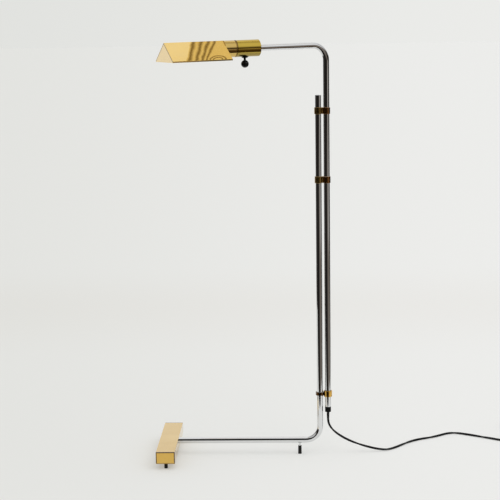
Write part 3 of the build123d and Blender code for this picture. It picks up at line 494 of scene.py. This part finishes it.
# %% World shader for camera, reflections and light
reflected = add_node(tree, "Background")
feed(tree, reflected, "Color", room)
plain = coloured(tree, "Background", (0.757, 0.757, 0.757, 1))
# The backdrop seen by the camera has the same painted shading: darker left, paler right.
across = ramp(tree, maths(tree, "DIVIDE", x, view_spread), *shading_ends)
backdrop_tone_and_shading = blend_colour(tree, across, (0.750, 0.757, 0.733), (0.832, 0.835, 0.815))
backdrop = coloured(tree, "Background", backdrop_tone_and_shading)
ray = add_node(tree, "LightPath").outputs
first_mirror = maths(tree, "LESS_THAN", ray["Diffuse Depth"], 0.5)
mirrored = maths(tree, "MULTIPLY", ray["Is Glossy Ray"], first_mirror)
seen_directly = maths(tree, "MAXIMUM", ray["Is Camera Ray"], ray["Is Transmission Ray"])
light_or_room = mix_shaders(tree, mirrored, plain, reflected.outputs[0])
surroundings = mix_shaders(tree, seen_directly, light_or_room, backdrop)
feed(tree, add_node(tree, "OutputWorld"), "Surface", surroundings)
print("world nodes", len(tree.nodes))

# %% Soft sun
sun_direction = Vector((0.35, -0.35, 1.0))
sun_data = bpy.data.lights.new("soft_sun", "SUN")
sun_data.energy = 0.9
sun_data.angle = math.radians(60)
sun = bpy.data.objects.new("soft_sun", sun_data)
scene.collection.objects.link(sun)
sun.rotation_euler = sun_direction.to_track_quat("Z", "Y").to_euler()
sun.visible_glossy = False
scene.view_settings.view_transform = "Standard"
print("sun energy", round(sun_data.energy, 2))

# %% [markdown]
# ## Finishes
# Each finish starts from one Principled shader. What is the same all over the piece is set on the
# shader's own sockets, and noise drives only what varies: a little colour, the roughness and a very
# shallow bump. The patterns read Object coordinates, which are metres here, so a scale of 400 means
# specks of two to three millimetres.

# %% Helpers for finishes
def new_finish(name, **fixed):
    """A material with one Principled shader; fixed sets its sockets, with _ for a space."""
    material = bpy.data.materials.new(name)
    material.use_nodes = True
    tree = material.node_tree
    shader = tree.nodes["Principled BSDF"]
    for socket, value in fixed.items():
        shader.inputs[socket.replace("_", " ")].default_value = value
    return material, tree, shader


def object_place(tree):
    """Object coordinates, in metres."""
    return add_node(tree, "TexCoord").outputs["Object"]


def grain(tree, scale, detail=2.0, stretch=(1, 1, 1)):
    """Noise from about 0.25 to 0.75 at a scale in repeats per metre, stretched along the axes."""
    mapping = add_node(tree, "Mapping")
    feed(tree, mapping, "Vector", object_place(tree))
    feed(tree, mapping, "Scale", stretch)
    noise = add_node(tree, "TexNoise")
    feed(tree, noise, "Vector", mapping.outputs[0])
    feed(tree, noise, "Scale", scale)
    feed(tree, noise, "Detail", detail)
    return noise.outputs["Fac"]


def spread(tree, noise, low, high):
    """Spreads the middle of a noise, from 0.3 to 0.7, over a range."""
    node = add_node(tree, "MapRange")
    feed(tree, node, "Value", noise)
    feed(tree, node, "From Min", 0.3)
    feed(tree, node, "From Max", 0.7)
    feed(tree, node, "To Min", low)
    feed(tree, node, "To Max", high)
    return node.outputs["Result"]


def dents(tree, pattern, depth):
    """A bump whose full height is depth, in metres."""
    bump = add_node(tree, "Bump")
    feed(tree, bump, "Height", pattern)
    feed(tree, bump, "Distance", depth)
    feed(tree, bump, "Strength", 1.0)
    return bump.outputs[0]

# %% [markdown]
# ### Lacquered brass
# The bar, the holder's cover and the shade are polished brass under clear lacquer. A coat over the
# metal gives the lacquer: it adds a white shine where the surface is seen at a low angle, which is
# why the bar's top looks paler than its front. Old lacquer lets the brass go slightly browner in
# soft patches and in pinhead specks. Fine scratches scatter a little light, so the metal's dark
# reflections are never quite black: a small share of haze does that.

# %% Brass under lacquer
patch_scale = 14
speck_scale = 420
speck_ends = (0.70, 0.78)
speck_darkness = 0.35
speck_wear = 0.2
wear_scale = 45
swell_scale = 9
swell_depth = 0.00025


def brass_finish(name, light, deep, rough=(0.045, 0.08), speck=0.35, coat=0.55, haze=0.0):
    """Polished brass with soft patches, specks, a lacquer coat and some haze of fine scratches."""
    material, tree, shader = new_finish(
        name, Metallic=1.0 - haze, Coat_Weight=coat, Coat_Roughness=0.04, Coat_IOR=1.5)
    patches = spread(tree, grain(tree, patch_scale, 3), 0.0, 0.7)
    specks = ramp(tree, grain(tree, speck_scale, 2), *speck_ends)
    specks = maths(tree, "MULTIPLY", specks, speck)
    speck_tone = tuple(speck_darkness * v for v in deep)
    spotted = blend_colour(tree, specks, blend_colour(tree, patches, light, deep), speck_tone)
    feed(tree, shader, "Base Color", spotted)
    wear = linear(tree, specks, spread(tree, grain(tree, wear_scale, 4), *rough), speck_wear)
    feed(tree, shader, "Roughness", wear)
    feed(tree, shader, "Normal", dents(tree, grain(tree, swell_scale, 1), swell_depth))
    return material, tree, shader, spotted


lacquered_brass = brass_finish("lacquered_brass", (0.80, 0.545, 0.15), (0.70, 0.44, 0.085),
                               haze=0.12)[0]
turned_brass = brass_finish("turned_brass", (0.70, 0.47, 0.16), (0.55, 0.33, 0.09),
                            (0.16, 0.28))[0]
print("brass finishes made")

# %% [markdown]
# ### Painted shade along edges
# On the bar's end plates a dark brown line of painted shade runs along the rim, for the narrow gap
# between each plate and the shell, and it is weaker along the bottom edge. The same dark line of
# painted shade follows the soldered edge of the shade's end plate. A mask made from the distance to
# the edge does this without any picture: the larger of the two distances from the plate's middle
# for the bar, and the distance from the sloping edge for the shade.

# %% Rim of the bar's end plates
rim_fade = (0.0028, 0.0016)
rim_ragged = 0.0003
under_edge_reach = 0.004
under_edge_share = 0.6
plate_low, plate_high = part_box("bar_end_front")
plate_middle = (plate_low + plate_high) / 2
plate_half = (plate_high - plate_low) / 2
rim_shaded_brass, tree, shader, spotted = brass_finish(
    "rim_shaded_brass", (0.78, 0.50, 0.12), (0.70, 0.42, 0.075))
from_plate = vector_maths(tree, "SUBTRACT", object_place(tree), plate_middle)
across, _, upward = separate(tree, from_plate)
ragged = spread(tree, grain(tree, 260, 3), -rim_ragged, rim_ragged)
rim_shades = []
for offset, half in ((across, plate_half.x), (upward, plate_half.z)):
    from_middle = maths(tree, "ADD", maths(tree, "ABSOLUTE", offset), ragged)
    rim_shades.append(ramp(tree, from_middle, half - rim_fade[0], half - rim_fade[1]))
rim_shade = maths(tree, "MAXIMUM", *rim_shades)
downward = maths(tree, "MULTIPLY", upward, -1.0)
under_edge = ramp(tree, downward, plate_half.z - under_edge_reach, plate_half.z)
rim_shade = maths(tree, "MULTIPLY", rim_shade, linear(tree, under_edge, 1.0, -under_edge_share))
# The dark brown here is painted shade of the gap round the plate, weaker along its bottom edge.
feed(tree, shader, "Base Color", blend_colour(tree, rim_shade, spotted, (0.075, 0.034, 0.010)))
print("bar end plate half size", [round(v, 4) for v in plate_half])

# %% [markdown]
# ### Axes of the arm
# The shade, its collar and the cover lie along the arm, which is swung 24 degrees towards the
# viewer and droops by one. A Mapping node of the Texture kind undoes a place and a rotation, so its
# output gives the distance along the arm, to the near side and up, in metres.

# %% Place along the arm
arm_origin = Vector((0.0755, 0, 1.078))
arm_droop = math.radians(1.0)
arm_swing = math.radians(204.0)
arm_axes = Matrix.Rotation(arm_swing, 3, "Z") @ Matrix.Rotation(arm_droop, 3, "Y")
arm_along = arm_axes.col[0].copy()


def arm_place(tree):
    """Distances along the arm, to its near side and up, as three outputs."""
    mapping = add_node(tree, "Mapping", vector_type="TEXTURE")
    feed(tree, mapping, "Vector", object_place(tree))
    feed(tree, mapping, "Location", arm_origin)
    feed(tree, mapping, "Rotation", (0.0, arm_droop, arm_swing))
    return separate(tree, mapping.outputs[0])


print("arm runs along", [round(v, 3) for v in arm_along])

# %% [markdown]
# ### Rippled sheet of the shade
# The shade is folded from thin sheet, and soldering the collar to it has left the panel slightly
# buckled at that end. A mirror shows such a buckle at once: the ceiling's lines turn into wavy
# stripes. The panel's shape hardly changes, so its mesh stays flat and only the direction it
# mirrors in is tilted, a little along the arm.
#
# Two families of ripples give the tilt, and the larger one wins. A fan of stripes crosses the
# panel: its stripes lean, and towards the collar they come closer together, most of all at the hem.
# A few arches stand on the hem near the collar. Both are laid out in shares of the panel and
# counted in cycles, and a dark line lies an eighth of a cycle past each whole one. Where a number
# changes up the panel it is a pair: its value at the hem and what it gains up to the ridge.

# %% Place on the panel
shade_start = 0.281
shade_length = 0.155
shade_half_width = 0.064
wobble_reach = 0.010
sheet_brass, tree, shader, spotted = brass_finish(
    "sheet_brass", (0.85, 0.605, 0.21), (0.80, 0.55, 0.16), (0.012, 0.024), 0.2, 0.3, haze=0.12)
along, aside = arm_place(tree)[:2]
from_collar = maths(tree, "DIVIDE", maths(tree, "SUBTRACT", along, shade_start), shade_length)
from_ridge = maths(tree, "DIVIDE", maths(tree, "ABSOLUTE", aside), shade_half_width)
from_hem = linear(tree, from_ridge, 1.0, -1.0)
wobble = spread(tree, grain(tree, 55, 1), -wobble_reach, wobble_reach)
print("panel", shade_length, "long", shade_half_width, "to each side")

# %% Fan of stripes
first_dark = 1.125
last_pale = 4.625
first_edge = (0.737, -0.235)
first_pace = (6.06, 1.3)
quickening = (14.27, -11.7)
pace_before_first = 5.0
fan_start = maths(tree, "ADD", linear(tree, from_hem, *first_edge), wobble)
fan_place = maths(tree, "SUBTRACT", fan_start, from_collar)
past_first = maths(tree, "MAXIMUM", fan_place, 0.0)
fan_pace = maths(tree, "MULTIPLY_ADD", past_first, linear(tree, from_hem, *quickening),
                 linear(tree, from_hem, *first_pace))
before_first = maths(tree, "LESS_THAN", fan_place, 0.0)
fan_pace = linear(tree, before_first, fan_pace, pace_before_first)
fan_cycles = maths(tree, "MULTIPLY_ADD", fan_place, fan_pace, first_dark)
fan_cycles = maths(tree, "MINIMUM", fan_cycles, last_pale)
print("fan from", first_dark, "to", last_pale, "cycles")

# %% Arches near the collar
arch_middle = 0.245
arch_lean = 0.14
arch_flatness = 0.65
arch_reach = 0.4262
arch_gap = 0.057
innermost = 6.625
to_middle = maths(tree, "ADD", linear(tree, from_collar, arch_middle, -1.0), wobble)
to_middle = linear(tree, from_hem, to_middle, -arch_lean)
above_hem = maths(tree, "MULTIPLY", from_hem, arch_flatness)
squares = maths(tree, "MULTIPLY", to_middle, to_middle)
squares = maths(tree, "MULTIPLY_ADD", above_hem, above_hem, squares)
from_middle = maths(tree, "SQRT", squares)
arch_cycles = maths(tree, "DIVIDE", maths(tree, "SUBTRACT", arch_reach, from_middle), arch_gap)
arch_cycles = maths(tree, "MINIMUM", arch_cycles, innermost)
print("arches", arch_gap, "of the panel apart")

# %% Ripples as a tilt of the surface
ripple_period = 0.016
mirror_gain = 1.32
bow_start = 0.0221
bow_change = -0.0364
cycles = maths(tree, "MAXIMUM", maths(tree, "MAXIMUM", fan_cycles, arch_cycles), 0.0)
bow = linear(tree, from_collar, bow_start, bow_change)
lean = maths(tree, "DIVIDE", linear(tree, cycles, bow, ripple_period), mirror_gain)
axis = add_node(tree, "VectorTransform", vector_type="VECTOR", convert_from="OBJECT",
                convert_to="WORLD")
feed(tree, axis, 0, arm_along)
leaning = vector_maths(tree, "MULTIPLY", axis.outputs[0], lean)
flat_normal = add_node(tree, "NewGeometry").outputs["Normal"]
tilted = vector_maths(tree, "NORMALIZE", vector_maths(tree, "ADD", flat_normal, leaning))
feed(tree, shader, "Normal", tilted)
feed(tree, shader, "Coat Normal", tilted)
print("ripple period", ripple_period)

# %% [markdown]
# The ceiling that the rippled panel mirrors needs lines to bend. They are added to the room as a
# small patch of soft stripes, only in the directions that the panel looks at, and only reflections
# see them. The top of the cover and the level arm mirror a little of the patch too, which makes
# them slightly darker.

# %% Ceiling stripes in the room
stripe_axis = Vector((-0.664, -0.629, 0.405))
panel_look = Vector((0.203, 0.386, 0.899)).normalized()
patch_fade = (0.965, 0.975)
stripe_count = 6.5
stripe_softness = 0.001
first_stripe_offset = 0.010
first_stripe = panel_look.dot(stripe_axis) + first_stripe_offset
tree = world.node_tree
look = add_node(tree, "TexCoord").outputs["Generated"]
along_stripes = vector_maths(tree, "DOT_PRODUCT", look, stripe_axis, output="Value")
along_stripes = maths(tree, "SUBTRACT", along_stripes, first_stripe)
turns = maths(tree, "MULTIPLY", along_stripes, 2 * math.pi / ripple_period)
wave = linear(tree, maths(tree, "COSINE", turns), 0.5, -0.5)
striped = window(tree, along_stripes, 0.0, stripe_count * ripple_period, stripe_softness)
nearness = vector_maths(tree, "DOT_PRODUCT", look, panel_look, output="Value")
striped = maths(tree, "MULTIPLY", striped, ramp(tree, nearness, *patch_fade))
stripe_tone = blend_colour(tree, wave, (0.84, 0.74, 0.46), (0.17, 0.11, 0.01))
stripe_tone = blend_colour(tree, striped, (1.0, 1.0, 1.0), stripe_tone)
feed(tree, reflected, "Color", blend_colour(tree, 1.0, room, stripe_tone, "MULTIPLY"))
print("stripes start at", round(first_stripe, 4))

# %% Soldered edge of the shade's end plate
ridge_height = 0.021
panel_drop = 0.044
seam_fade = (0.0018, 0.0036)
seam_ragged = 0.0003
panel_slope = math.atan2(panel_drop, shade_half_width)
# The end plate's paler gold is a painted sheen, and the dark line along its sloping edges is
# painted shade.
painted_end_plate_brass, tree, shader, spotted = brass_finish(
    "painted_end_plate_brass", (0.93, 0.70, 0.31), (0.90, 0.66, 0.27), haze=0.14)
aside, upward = arm_place(tree)[1:]
sloping = maths(tree, "MULTIPLY", maths(tree, "ABSOLUTE", aside), math.tan(panel_slope))
below_ridge = maths(tree, "SUBTRACT", maths(tree, "SUBTRACT", ridge_height, upward), sloping)
ragged = spread(tree, grain(tree, 240, 2), -seam_ragged, seam_ragged)
to_edge = linear(tree, below_ridge, ragged, math.cos(panel_slope))
seam_shade = fall(tree, to_edge, *seam_fade)
feed(tree, shader, "Base Color", blend_colour(tree, seam_shade, spotted, (0.10, 0.06, 0.02)))
print("panel slopes", round(math.degrees(panel_slope), 1), "degrees")

# %% [markdown]
# ### Cover and collar
# The cover of the holder and the shade's collar are painted a darker gold than the shade, and the
# cover a greener one: painted shade. Both carry a brown line of painted shade at the joint between
# them, where the groove lies in shadow. The line follows the distance along the arm. The cover's
# underside is painted duller and darker, as painted shade. The cover's underside, which no cloth
# reaches, is duller.

# %% Brass of the cover and the collar
joint_middle = 0.2504
joint_fade = (0.0014, 0.0034)
joint_ragged = 0.0004
underside_fade = (-0.0135, -0.0075)
# The darker gold of the cover and the collar is painted shade.
cover_brass = brass_finish("cover_brass", (0.60, 0.43, 0.070), (0.50, 0.345, 0.045),
                           (0.06, 0.11), 0.4, 0.15)
collar_brass = brass_finish("collar_brass", (0.68, 0.475, 0.145), (0.58, 0.39, 0.10),
                            (0.05, 0.09), 0.35, 0.3)
# Painted shade: a brown line at the joint on both, and a darker underside on the cover.
for material, tree, shader, spotted in (cover_brass, collar_brass):
    along = arm_place(tree)[0]
    from_joint = maths(tree, "ABSOLUTE", maths(tree, "SUBTRACT", along, joint_middle))
    ragged = spread(tree, grain(tree, 300, 2), -joint_ragged, joint_ragged)
    joint_shade = fall(tree, maths(tree, "ADD", from_joint, ragged), *joint_fade)
    joint_shaded = blend_colour(tree, joint_shade, spotted, (0.24, 0.135, 0.022))
    feed(tree, shader, "Base Color", joint_shaded)
    if material is cover_brass[0]:
        underside_shade = fall(tree, arm_place(tree)[2], *underside_fade)
        feed(tree, shader, "Base Color", blend_colour(tree, underside_shade, joint_shaded, (0.34, 0.25, 0.062)))
print("joint at", joint_middle, "along the arm")

# %% [markdown]
# ### Aged brass of the brackets
# The brackets are handled and have lost their lacquer: in the photograph they are a dark olive
# brown. A pale painted highlight lies in the groove that parts their two rings, and the ring round
# the moving tube is painted warmer, a painted reflection. The sliding bracket's tall ring on the
# moving tube is painted bright and its low ring on the post dark, painted reflection and shade, so
# one material changes between the two rings.

# %% Brackets
between_rings = 0.0640
groove_end = 0.0660
groove_softness = 0.0005
groove_wear = 0.45
warm_share = 0.75
arm_side_full = 0.0690
post_side_end = 0.0670
aged_highlit_brass, tree, shader, spotted = brass_finish(
    "aged_highlit_brass", (0.46, 0.30, 0.085), (0.27, 0.15, 0.035), (0.16, 0.3), 0.6, 0.2)
x = separate(tree, object_place(tree))[0]
# Painted reflection: the ring round the moving tube is warmer. Painted highlight: a pale line in
# the groove.
arm_ring_reflection = maths(tree, "MULTIPLY", ramp(tree, x, groove_end, arm_side_full), warm_share)
warm_reflection = blend_colour(tree, arm_ring_reflection, spotted, (0.34, 0.13, 0.035))
groove_highlight = window(tree, x, between_rings, groove_end, groove_softness)
feed(tree, shader, "Base Color", blend_colour(tree, groove_highlight, warm_reflection, (0.80, 0.54, 0.20)))
wear = shader.inputs["Roughness"].links[0].from_socket
feed(tree, shader, "Roughness", linear(tree, groove_highlight, wear, groove_wear))
slider_brass, tree, shader, spotted = brass_finish(
    "slider_brass", (0.80, 0.50, 0.12), (0.66, 0.36, 0.06), coat=0.12)
x = separate(tree, object_place(tree))[0]
# Painted shade: the low ring on the post is dark, while the tall ring on the moving tube stays
# bright.
post_ring_shade = fall(tree, x, between_rings, post_side_end)
feed(tree, shader, "Base Color", blend_colour(tree, post_ring_shade, spotted, (0.09, 0.04, 0.010)))
print("rings part at", between_rings)

# %% [markdown]
# ### Chrome
# Chrome plate is nearly neutral and very smooth. Two things keep it from looking like a computer's
# chrome: the polishing left faint rings round the tube, and its smoothness varies from place to
# place.

# %% Chrome plate
polish_depth = 0.000004


def chrome_finish(name, tone, rough, ring_stretch):
    """Chrome with faint polishing marks, stretched across the tube."""
    material, tree, shader = new_finish(name, Metallic=1.0)
    cloud = spread(tree, grain(tree, 30, 3), 0.0, 1.0)
    cloud_tone = tuple(v * 0.97 for v in tone)
    feed(tree, shader, "Base Color", blend_colour(tree, cloud, cloud_tone, tone))
    feed(tree, shader, "Roughness", spread(tree, grain(tree, 120, 3, ring_stretch), *rough))
    feed(tree, shader, "Normal", dents(tree, grain(tree, 260, 2, ring_stretch), polish_depth))
    return material


chrome_plate = chrome_finish("chrome_plate", (0.79, 0.795, 0.80), (0.03, 0.07), (1, 1, 6))
chrome_parts = chrome_finish("chrome_parts", (0.75, 0.755, 0.76), (0.08, 0.16), (1, 1, 1))
print("chrome finishes made")

# %% [markdown]
# ### Steel, aluminium and the metal inside
# The ballast, screws and studs are turned or sawn steel, which shows as fine lines. The bulb's cap
# is spun aluminium. A Wave texture in rings would do, but real tool marks are uneven, so stretched
# noise is used.

# %% Steel and aluminium
tool_mark_depth = 0.00002


def machined_finish(name, light, dark, rough, stretch):
    """Bare metal with uneven tool marks."""
    material, tree, shader = new_finish(name, Metallic=1.0)
    marks = grain(tree, 350, 4, stretch)
    feed(tree, shader, "Base Color", blend_colour(tree, spread(tree, marks, 0.0, 1.0), light, dark))
    feed(tree, shader, "Roughness", spread(tree, grain(tree, 90, 3), *rough))
    feed(tree, shader, "Normal", dents(tree, marks, tool_mark_depth))
    return material


machined_steel = machined_finish("machined_steel", (0.50, 0.50, 0.51), (0.36, 0.36, 0.37),
                                 (0.25, 0.42), (1, 0.1, 1))
spun_aluminium = machined_finish("spun_aluminium", (0.82, 0.82, 0.82), (0.68, 0.68, 0.69),
                                 (0.2, 0.34), (1, 1, 1))
print("machined finishes made")

# %% [markdown]
# ### Black parts, nylon and phenolic
# The pads are matt rubber, the tube's cap, the knob and the plug are moulded plastic with a faint
# orange peel, and the cord's jacket is satin. They are all nearly black, so their shape is told by
# the highlights, and the roughness and the bump matter more than the colour.

# %% Plastics and rubber
def moulded_finish(name, light, dark, rough, bump_scale, depth, **fixed):
    """A moulded piece: cloudy colour, uneven gloss and a fine skin."""
    material, tree, shader = new_finish(name, **fixed)
    cloud = spread(tree, grain(tree, 60, 4), 0, 1)
    feed(tree, shader, "Base Color", blend_colour(tree, cloud, light, dark))
    feed(tree, shader, "Roughness", spread(tree, grain(tree, 130, 3), *rough))
    feed(tree, shader, "Normal", dents(tree, grain(tree, bump_scale, 3), depth))
    return material


black_rubber = moulded_finish(
    "black_rubber", (0.008, 0.007, 0.007), (0.015, 0.014, 0.013), (0.55, 0.8), 1500, 0.00006,
    Specular_IOR_Level=0.25)
black_plastic = moulded_finish(
    "black_plastic", (0.002, 0.002, 0.002), (0.005, 0.005, 0.005), (0.08, 0.16), 700, 0.00001,
    Specular_IOR_Level=0.3)
cap_plastic = moulded_finish(
    "cap_plastic", (0.001, 0.001, 0.001), (0.003, 0.003, 0.003), (0.25, 0.4), 900, 0.00002,
    Specular_IOR_Level=0.13)
cord_jacket = moulded_finish(
    "cord_jacket", (0.002, 0.002, 0.002), (0.005, 0.005, 0.005), (0.35, 0.5), 1100, 0.00003,
    Specular_IOR_Level=0.18)
white_nylon = moulded_finish(
    "turned_nylon", (0.80, 0.78, 0.70), (0.72, 0.70, 0.61), (0.35, 0.5), 800, 0.00003)
phenolic = moulded_finish(
    "moulded_phenolic", (0.030, 0.020, 0.014), (0.060, 0.035, 0.022), (0.22, 0.4), 500, 0.00003,
    Specular_IOR_Level=0.4)
print("moulded finishes made")

# %% [markdown]
# ### Frosted bulb
# The bulb is etched inside, so it lets light through but blurs it. A Glass shader would be too
# clear, so the Principled shader's transmission is used with an uneven, high roughness.

# %% Glass
etch_depth = 0.00002
frosted_glass, tree, shader = new_finish("frosted_glass", IOR=1.45, Transmission_Weight=0.85)
etched = spread(tree, grain(tree, 80, 3), 0.0, 1.0)
feed(tree, shader, "Base Color", blend_colour(tree, etched, (0.95, 0.95, 0.93), (0.90, 0.90, 0.87)))
feed(tree, shader, "Roughness", spread(tree, grain(tree, 200, 3), 0.32, 0.5))
feed(tree, shader, "Normal", dents(tree, grain(tree, 1400, 2), etch_depth))
print("materials", len(bpy.data.materials))

# %% [markdown]
# ## Fine detail
# A few pieces need more than the engineering model carries. Sheet and bar never have a knife edge:
# they are filed and polished, so each edge has a small round that catches a line of light. A copy
# of the piece takes that round from a Bevel modifier. The relief with its grooves, the plug's grips
# and the tie round the coil are new pieces.

# %% Edges rounded by polishing
def softened(node_name, piece_name, radius, material):
    """A copy of a piece with its sharp edges rounded, moving with the same body."""
    node = nodes[node_name]
    soft_bm = bmesh.new()
    soft_bm.from_mesh(node.data)
    bmesh.ops.remove_doubles(soft_bm, verts=soft_bm.verts, dist=0.000005)
    bmesh.ops.dissolve_limit(soft_bm, angle_limit=math.radians(2.0), verts=soft_bm.verts,
                             edges=soft_bm.edges)
    made = piece_from(soft_bm, piece_name, crisp_above=35)
    rounding = made.modifiers.new("rounding", "BEVEL")
    rounding.width = radius
    rounding.segments = 2
    rounding.limit_method = "ANGLE"
    rounding.angle_limit = math.radians(40)
    rounding.harden_normals = True
    made.data.materials.append(material)
    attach(made, node["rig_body"])
    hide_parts(node_name)


softened("bar_shell", "polished_bar", 0.0006, lacquered_brass)
softened("shade_tent", "folded_tent", 0.0003, sheet_brass)
softened("shade_end_outer", "soldered_end", 0.0003, painted_end_plate_brass)
print("edges rounded")

# %% [markdown]
# ### Moulded relief
# The relief that the cord hangs from is soft rubber with grooves round it, so that it bends with
# the cord and doesn't cut it. Its section is drawn once, as distances from the tube's axis, and
# spun.

# %% Section of the grooved relief
ribs = 5
rib_pitch = 0.0026
first_rib = 0.0008
rib_height = 0.0012
groove_rise = (0.0014, 0.0024)
groove_depth = 0.00056
relief_bore = 0.0031
relief_base = 0.0033
relief_widening = 0.0006
relief_collar = 0.0039
collar_height = 0.0014
relief_in_cap = 0.0040
cap_bottom = 0.1145
relief_low, relief_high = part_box("strain_relief")
relief_section = [(relief_bore, relief_low.z), (relief_base, relief_low.z)]
for index in range(ribs):
    rib_rise = first_rib + index * rib_pitch
    rib_low = relief_low.z + rib_rise
    outer = relief_base + relief_widening * rib_rise / (cap_bottom - relief_low.z)
    relief_section += [(outer, rib_low), (outer, rib_low + rib_height)]
    relief_section += [(outer - groove_depth, rib_low + rise) for rise in groove_rise]
relief_section += [
    (relief_collar, cap_bottom - collar_height), (relief_collar, cap_bottom),
    (relief_in_cap, cap_bottom), (relief_in_cap, relief_high.z), (relief_bore, relief_high.z),
]
print("corners of the relief's section", len(relief_section))

# %% Spun relief
def spun(piece_name, outline, centre, steps=48):
    """Spins a closed outline of (distance, height) pairs round an upright axis through centre."""
    spun_bm = bmesh.new()
    corners = [spun_bm.verts.new((centre[0] + across, centre[1], up)) for across, up in outline]
    edges = [spun_bm.edges.new((a, b)) for a, b in zip(corners, corners[1:] + corners[:1])]
    bmesh.ops.spin(spun_bm, geom=corners + edges, cent=(centre[0], centre[1], 0), axis=(0, 0, 1),
                   angle=2 * math.pi, steps=steps, use_merge=True)
    bmesh.ops.recalc_face_normals(spun_bm, faces=spun_bm.faces)
    return piece_from(spun_bm, piece_name, crisp_above=50)


relief = spun("grooved_relief", relief_section, (relief_low + relief_high) / 2)
relief.data.materials.append(cap_plastic)
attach(relief, "arm")
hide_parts("strain_relief")
print("relief faces", len(relief.data.polygons))

# %% [markdown]
# ### Grips of the plug and a tie for the coil
# A moulded plug has raised bars where the fingers hold it, and a new lamp's spare cord is kept in
# its coil by a soft tie. The bars are small bevelled boxes turned to the plug's heading. The tie is
# a flat band: its loop is drawn as a rounded rectangle round the bundle of turns, then given width.

# %% Grip bars on the plug
grip_count = 5
first_grip = 0.0155
grip_pitch = 0.0042
grip_size = (0.014, 0.0018, 0.0016)
grip_rounding = 0.0006


def turned_boxes(piece_name, middles, size, heading, rounding):
    """Small boxes with rounded edges, all turned so that their long side lies across heading."""
    turned = Vector((-heading.y, heading.x, 0))
    turned_axes = Matrix((turned, heading, Vector((0, 0, 1)))).transposed().to_4x4()
    boxes_bm = bmesh.new()
    for middle in middles:
        shape = Matrix.Translation(middle) @ turned_axes @ Matrix.Diagonal((*size, 1))
        bmesh.ops.create_cube(boxes_bm, size=1, matrix=shape)
    bmesh.ops.bevel(boxes_bm, geom=boxes_bm.edges, affect="EDGES", offset=rounding, segments=3,
                    profile=0.5, material=-1)
    bmesh.ops.recalc_face_normals(boxes_bm, faces=boxes_bm.faces)
    return piece_from(boxes_bm, piece_name, crisp_above=180)


plug_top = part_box("plug_body")[1].z
grip_middles = []
for index in range(grip_count):
    middle = plug_entry + plug_heading * (first_grip + index * grip_pitch)
    grip_middles.append(Vector((middle.x, middle.y, plug_top)))
grips = turned_boxes("plug_grips", grip_middles, grip_size, plug_heading, grip_rounding)
grips.data.materials.append(black_plastic)
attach(grips, "base")
print("grip bars", len(grip_middles), "plug top", round(plug_top, 4))

# %% Band of the tie
tie_width = 0.009
tie_thickness = 0.0007
tie_corner = 0.0035
above_floor = 0.0001
tie_reach = (inner_radius - cord_width / 2, coil_radius + cord_width / 2)
tie_rise = (tie_thickness + above_floor, cord_width + coil_step)
tie_size = (tie_reach[1] - tie_reach[0], tie_rise[1] - tie_rise[0], 1)
tie_bm = bmesh.new()
bmesh.ops.create_grid(tie_bm, x_segments=1, y_segments=1, size=0.5)
bmesh.ops.scale(tie_bm, vec=tie_size, verts=tie_bm.verts)
bmesh.ops.bevel(tie_bm, geom=tie_bm.verts, affect="VERTICES", offset=tie_corner, segments=6,
                profile=0.5, material=-1)
bmesh.ops.delete(tie_bm, geom=tie_bm.faces[:], context="FACES_ONLY")
widened = bmesh.ops.extrude_edge_only(tie_bm, edges=tie_bm.edges[:])["geom"]
far_edge = [item for item in widened if isinstance(item, bmesh.types.BMVert)]
bmesh.ops.translate(tie_bm, vec=(0, 0, tie_width), verts=far_edge)
bmesh.ops.recalc_face_normals(tie_bm, faces=tie_bm.faces)
bmesh.ops.solidify(tie_bm, geom=tie_bm.faces[:], thickness=-tie_thickness)
bmesh.ops.recalc_face_normals(tie_bm, faces=tie_bm.faces)
print("tie size", [round(v, 4) for v in tie_size[:2]])

# %% Tie round the coil
tie_out = coil_direction(1.25 * math.pi)
tie_side = Vector((-tie_out.y, tie_out.x, 0))
tie_axes = Matrix((tie_out, Vector((0, 0, 1)), -tie_side)).transposed().to_4x4()
tie_middle = coil_centre + tie_out * sum(tie_reach) / 2 + tie_side * tie_width / 2
tie_middle.z = sum(tie_rise) / 2
tie_bm.transform(Matrix.Translation(tie_middle) @ tie_axes)
tie = piece_from(tie_bm, "coil_tie", crisp_above=50)
tie.data.materials.append(black_rubber)
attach(tie, "base")
tie_heights = [vertex.co.z for vertex in tie.data.vertices]
print("tie from", round(min(tie_heights), 5), "to", round(max(tie_heights), 5))

# %% [markdown]
# ## Dressing the engineering model's pieces
# The nodes keep their meshes, which already have the right shape, and only their material slot
# changes. Most follow their slot in the record. A few get a finish of their own.

# %% Materials by slot and by piece
by_slot = {
    "polished_brass": lacquered_brass, "chrome_tube": chrome_plate, "chrome_small": chrome_parts,
    "black_rubber": black_rubber, "steel_inner": machined_steel, "white_nylon": white_nylon,
    "black_plastic": black_plastic, "black_flex": cord_jacket, "holder_phenolic": phenolic,
    "brass_inner": turned_brass, "bulb_cap": spun_aluminium, "bulb_glass": frosted_glass,
}
by_piece = {
    "bar_end_front": rim_shaded_brass, "bar_end_rear": rim_shaded_brass, "upper_bracket": aged_highlit_brass,
    "middle_bracket": aged_highlit_brass, "slider_bracket": slider_brass, "shade_tent": sheet_brass,
    "shade_end_outer": painted_end_plate_brass, "tube_end_cap": cap_plastic, "strain_relief": cap_plastic,
    "socket_cover": cover_brass[0], "shade_collar": collar_brass[0],
    "collar_rivets": collar_brass[0],
}
for name, node in nodes.items():
    slot_name = node.data.materials[0].name
    node.data.materials[0] = by_piece.get(name, by_slot[slot_name])
flex.data.materials.append(cord_jacket)
print("pieces dressed", len(nodes))
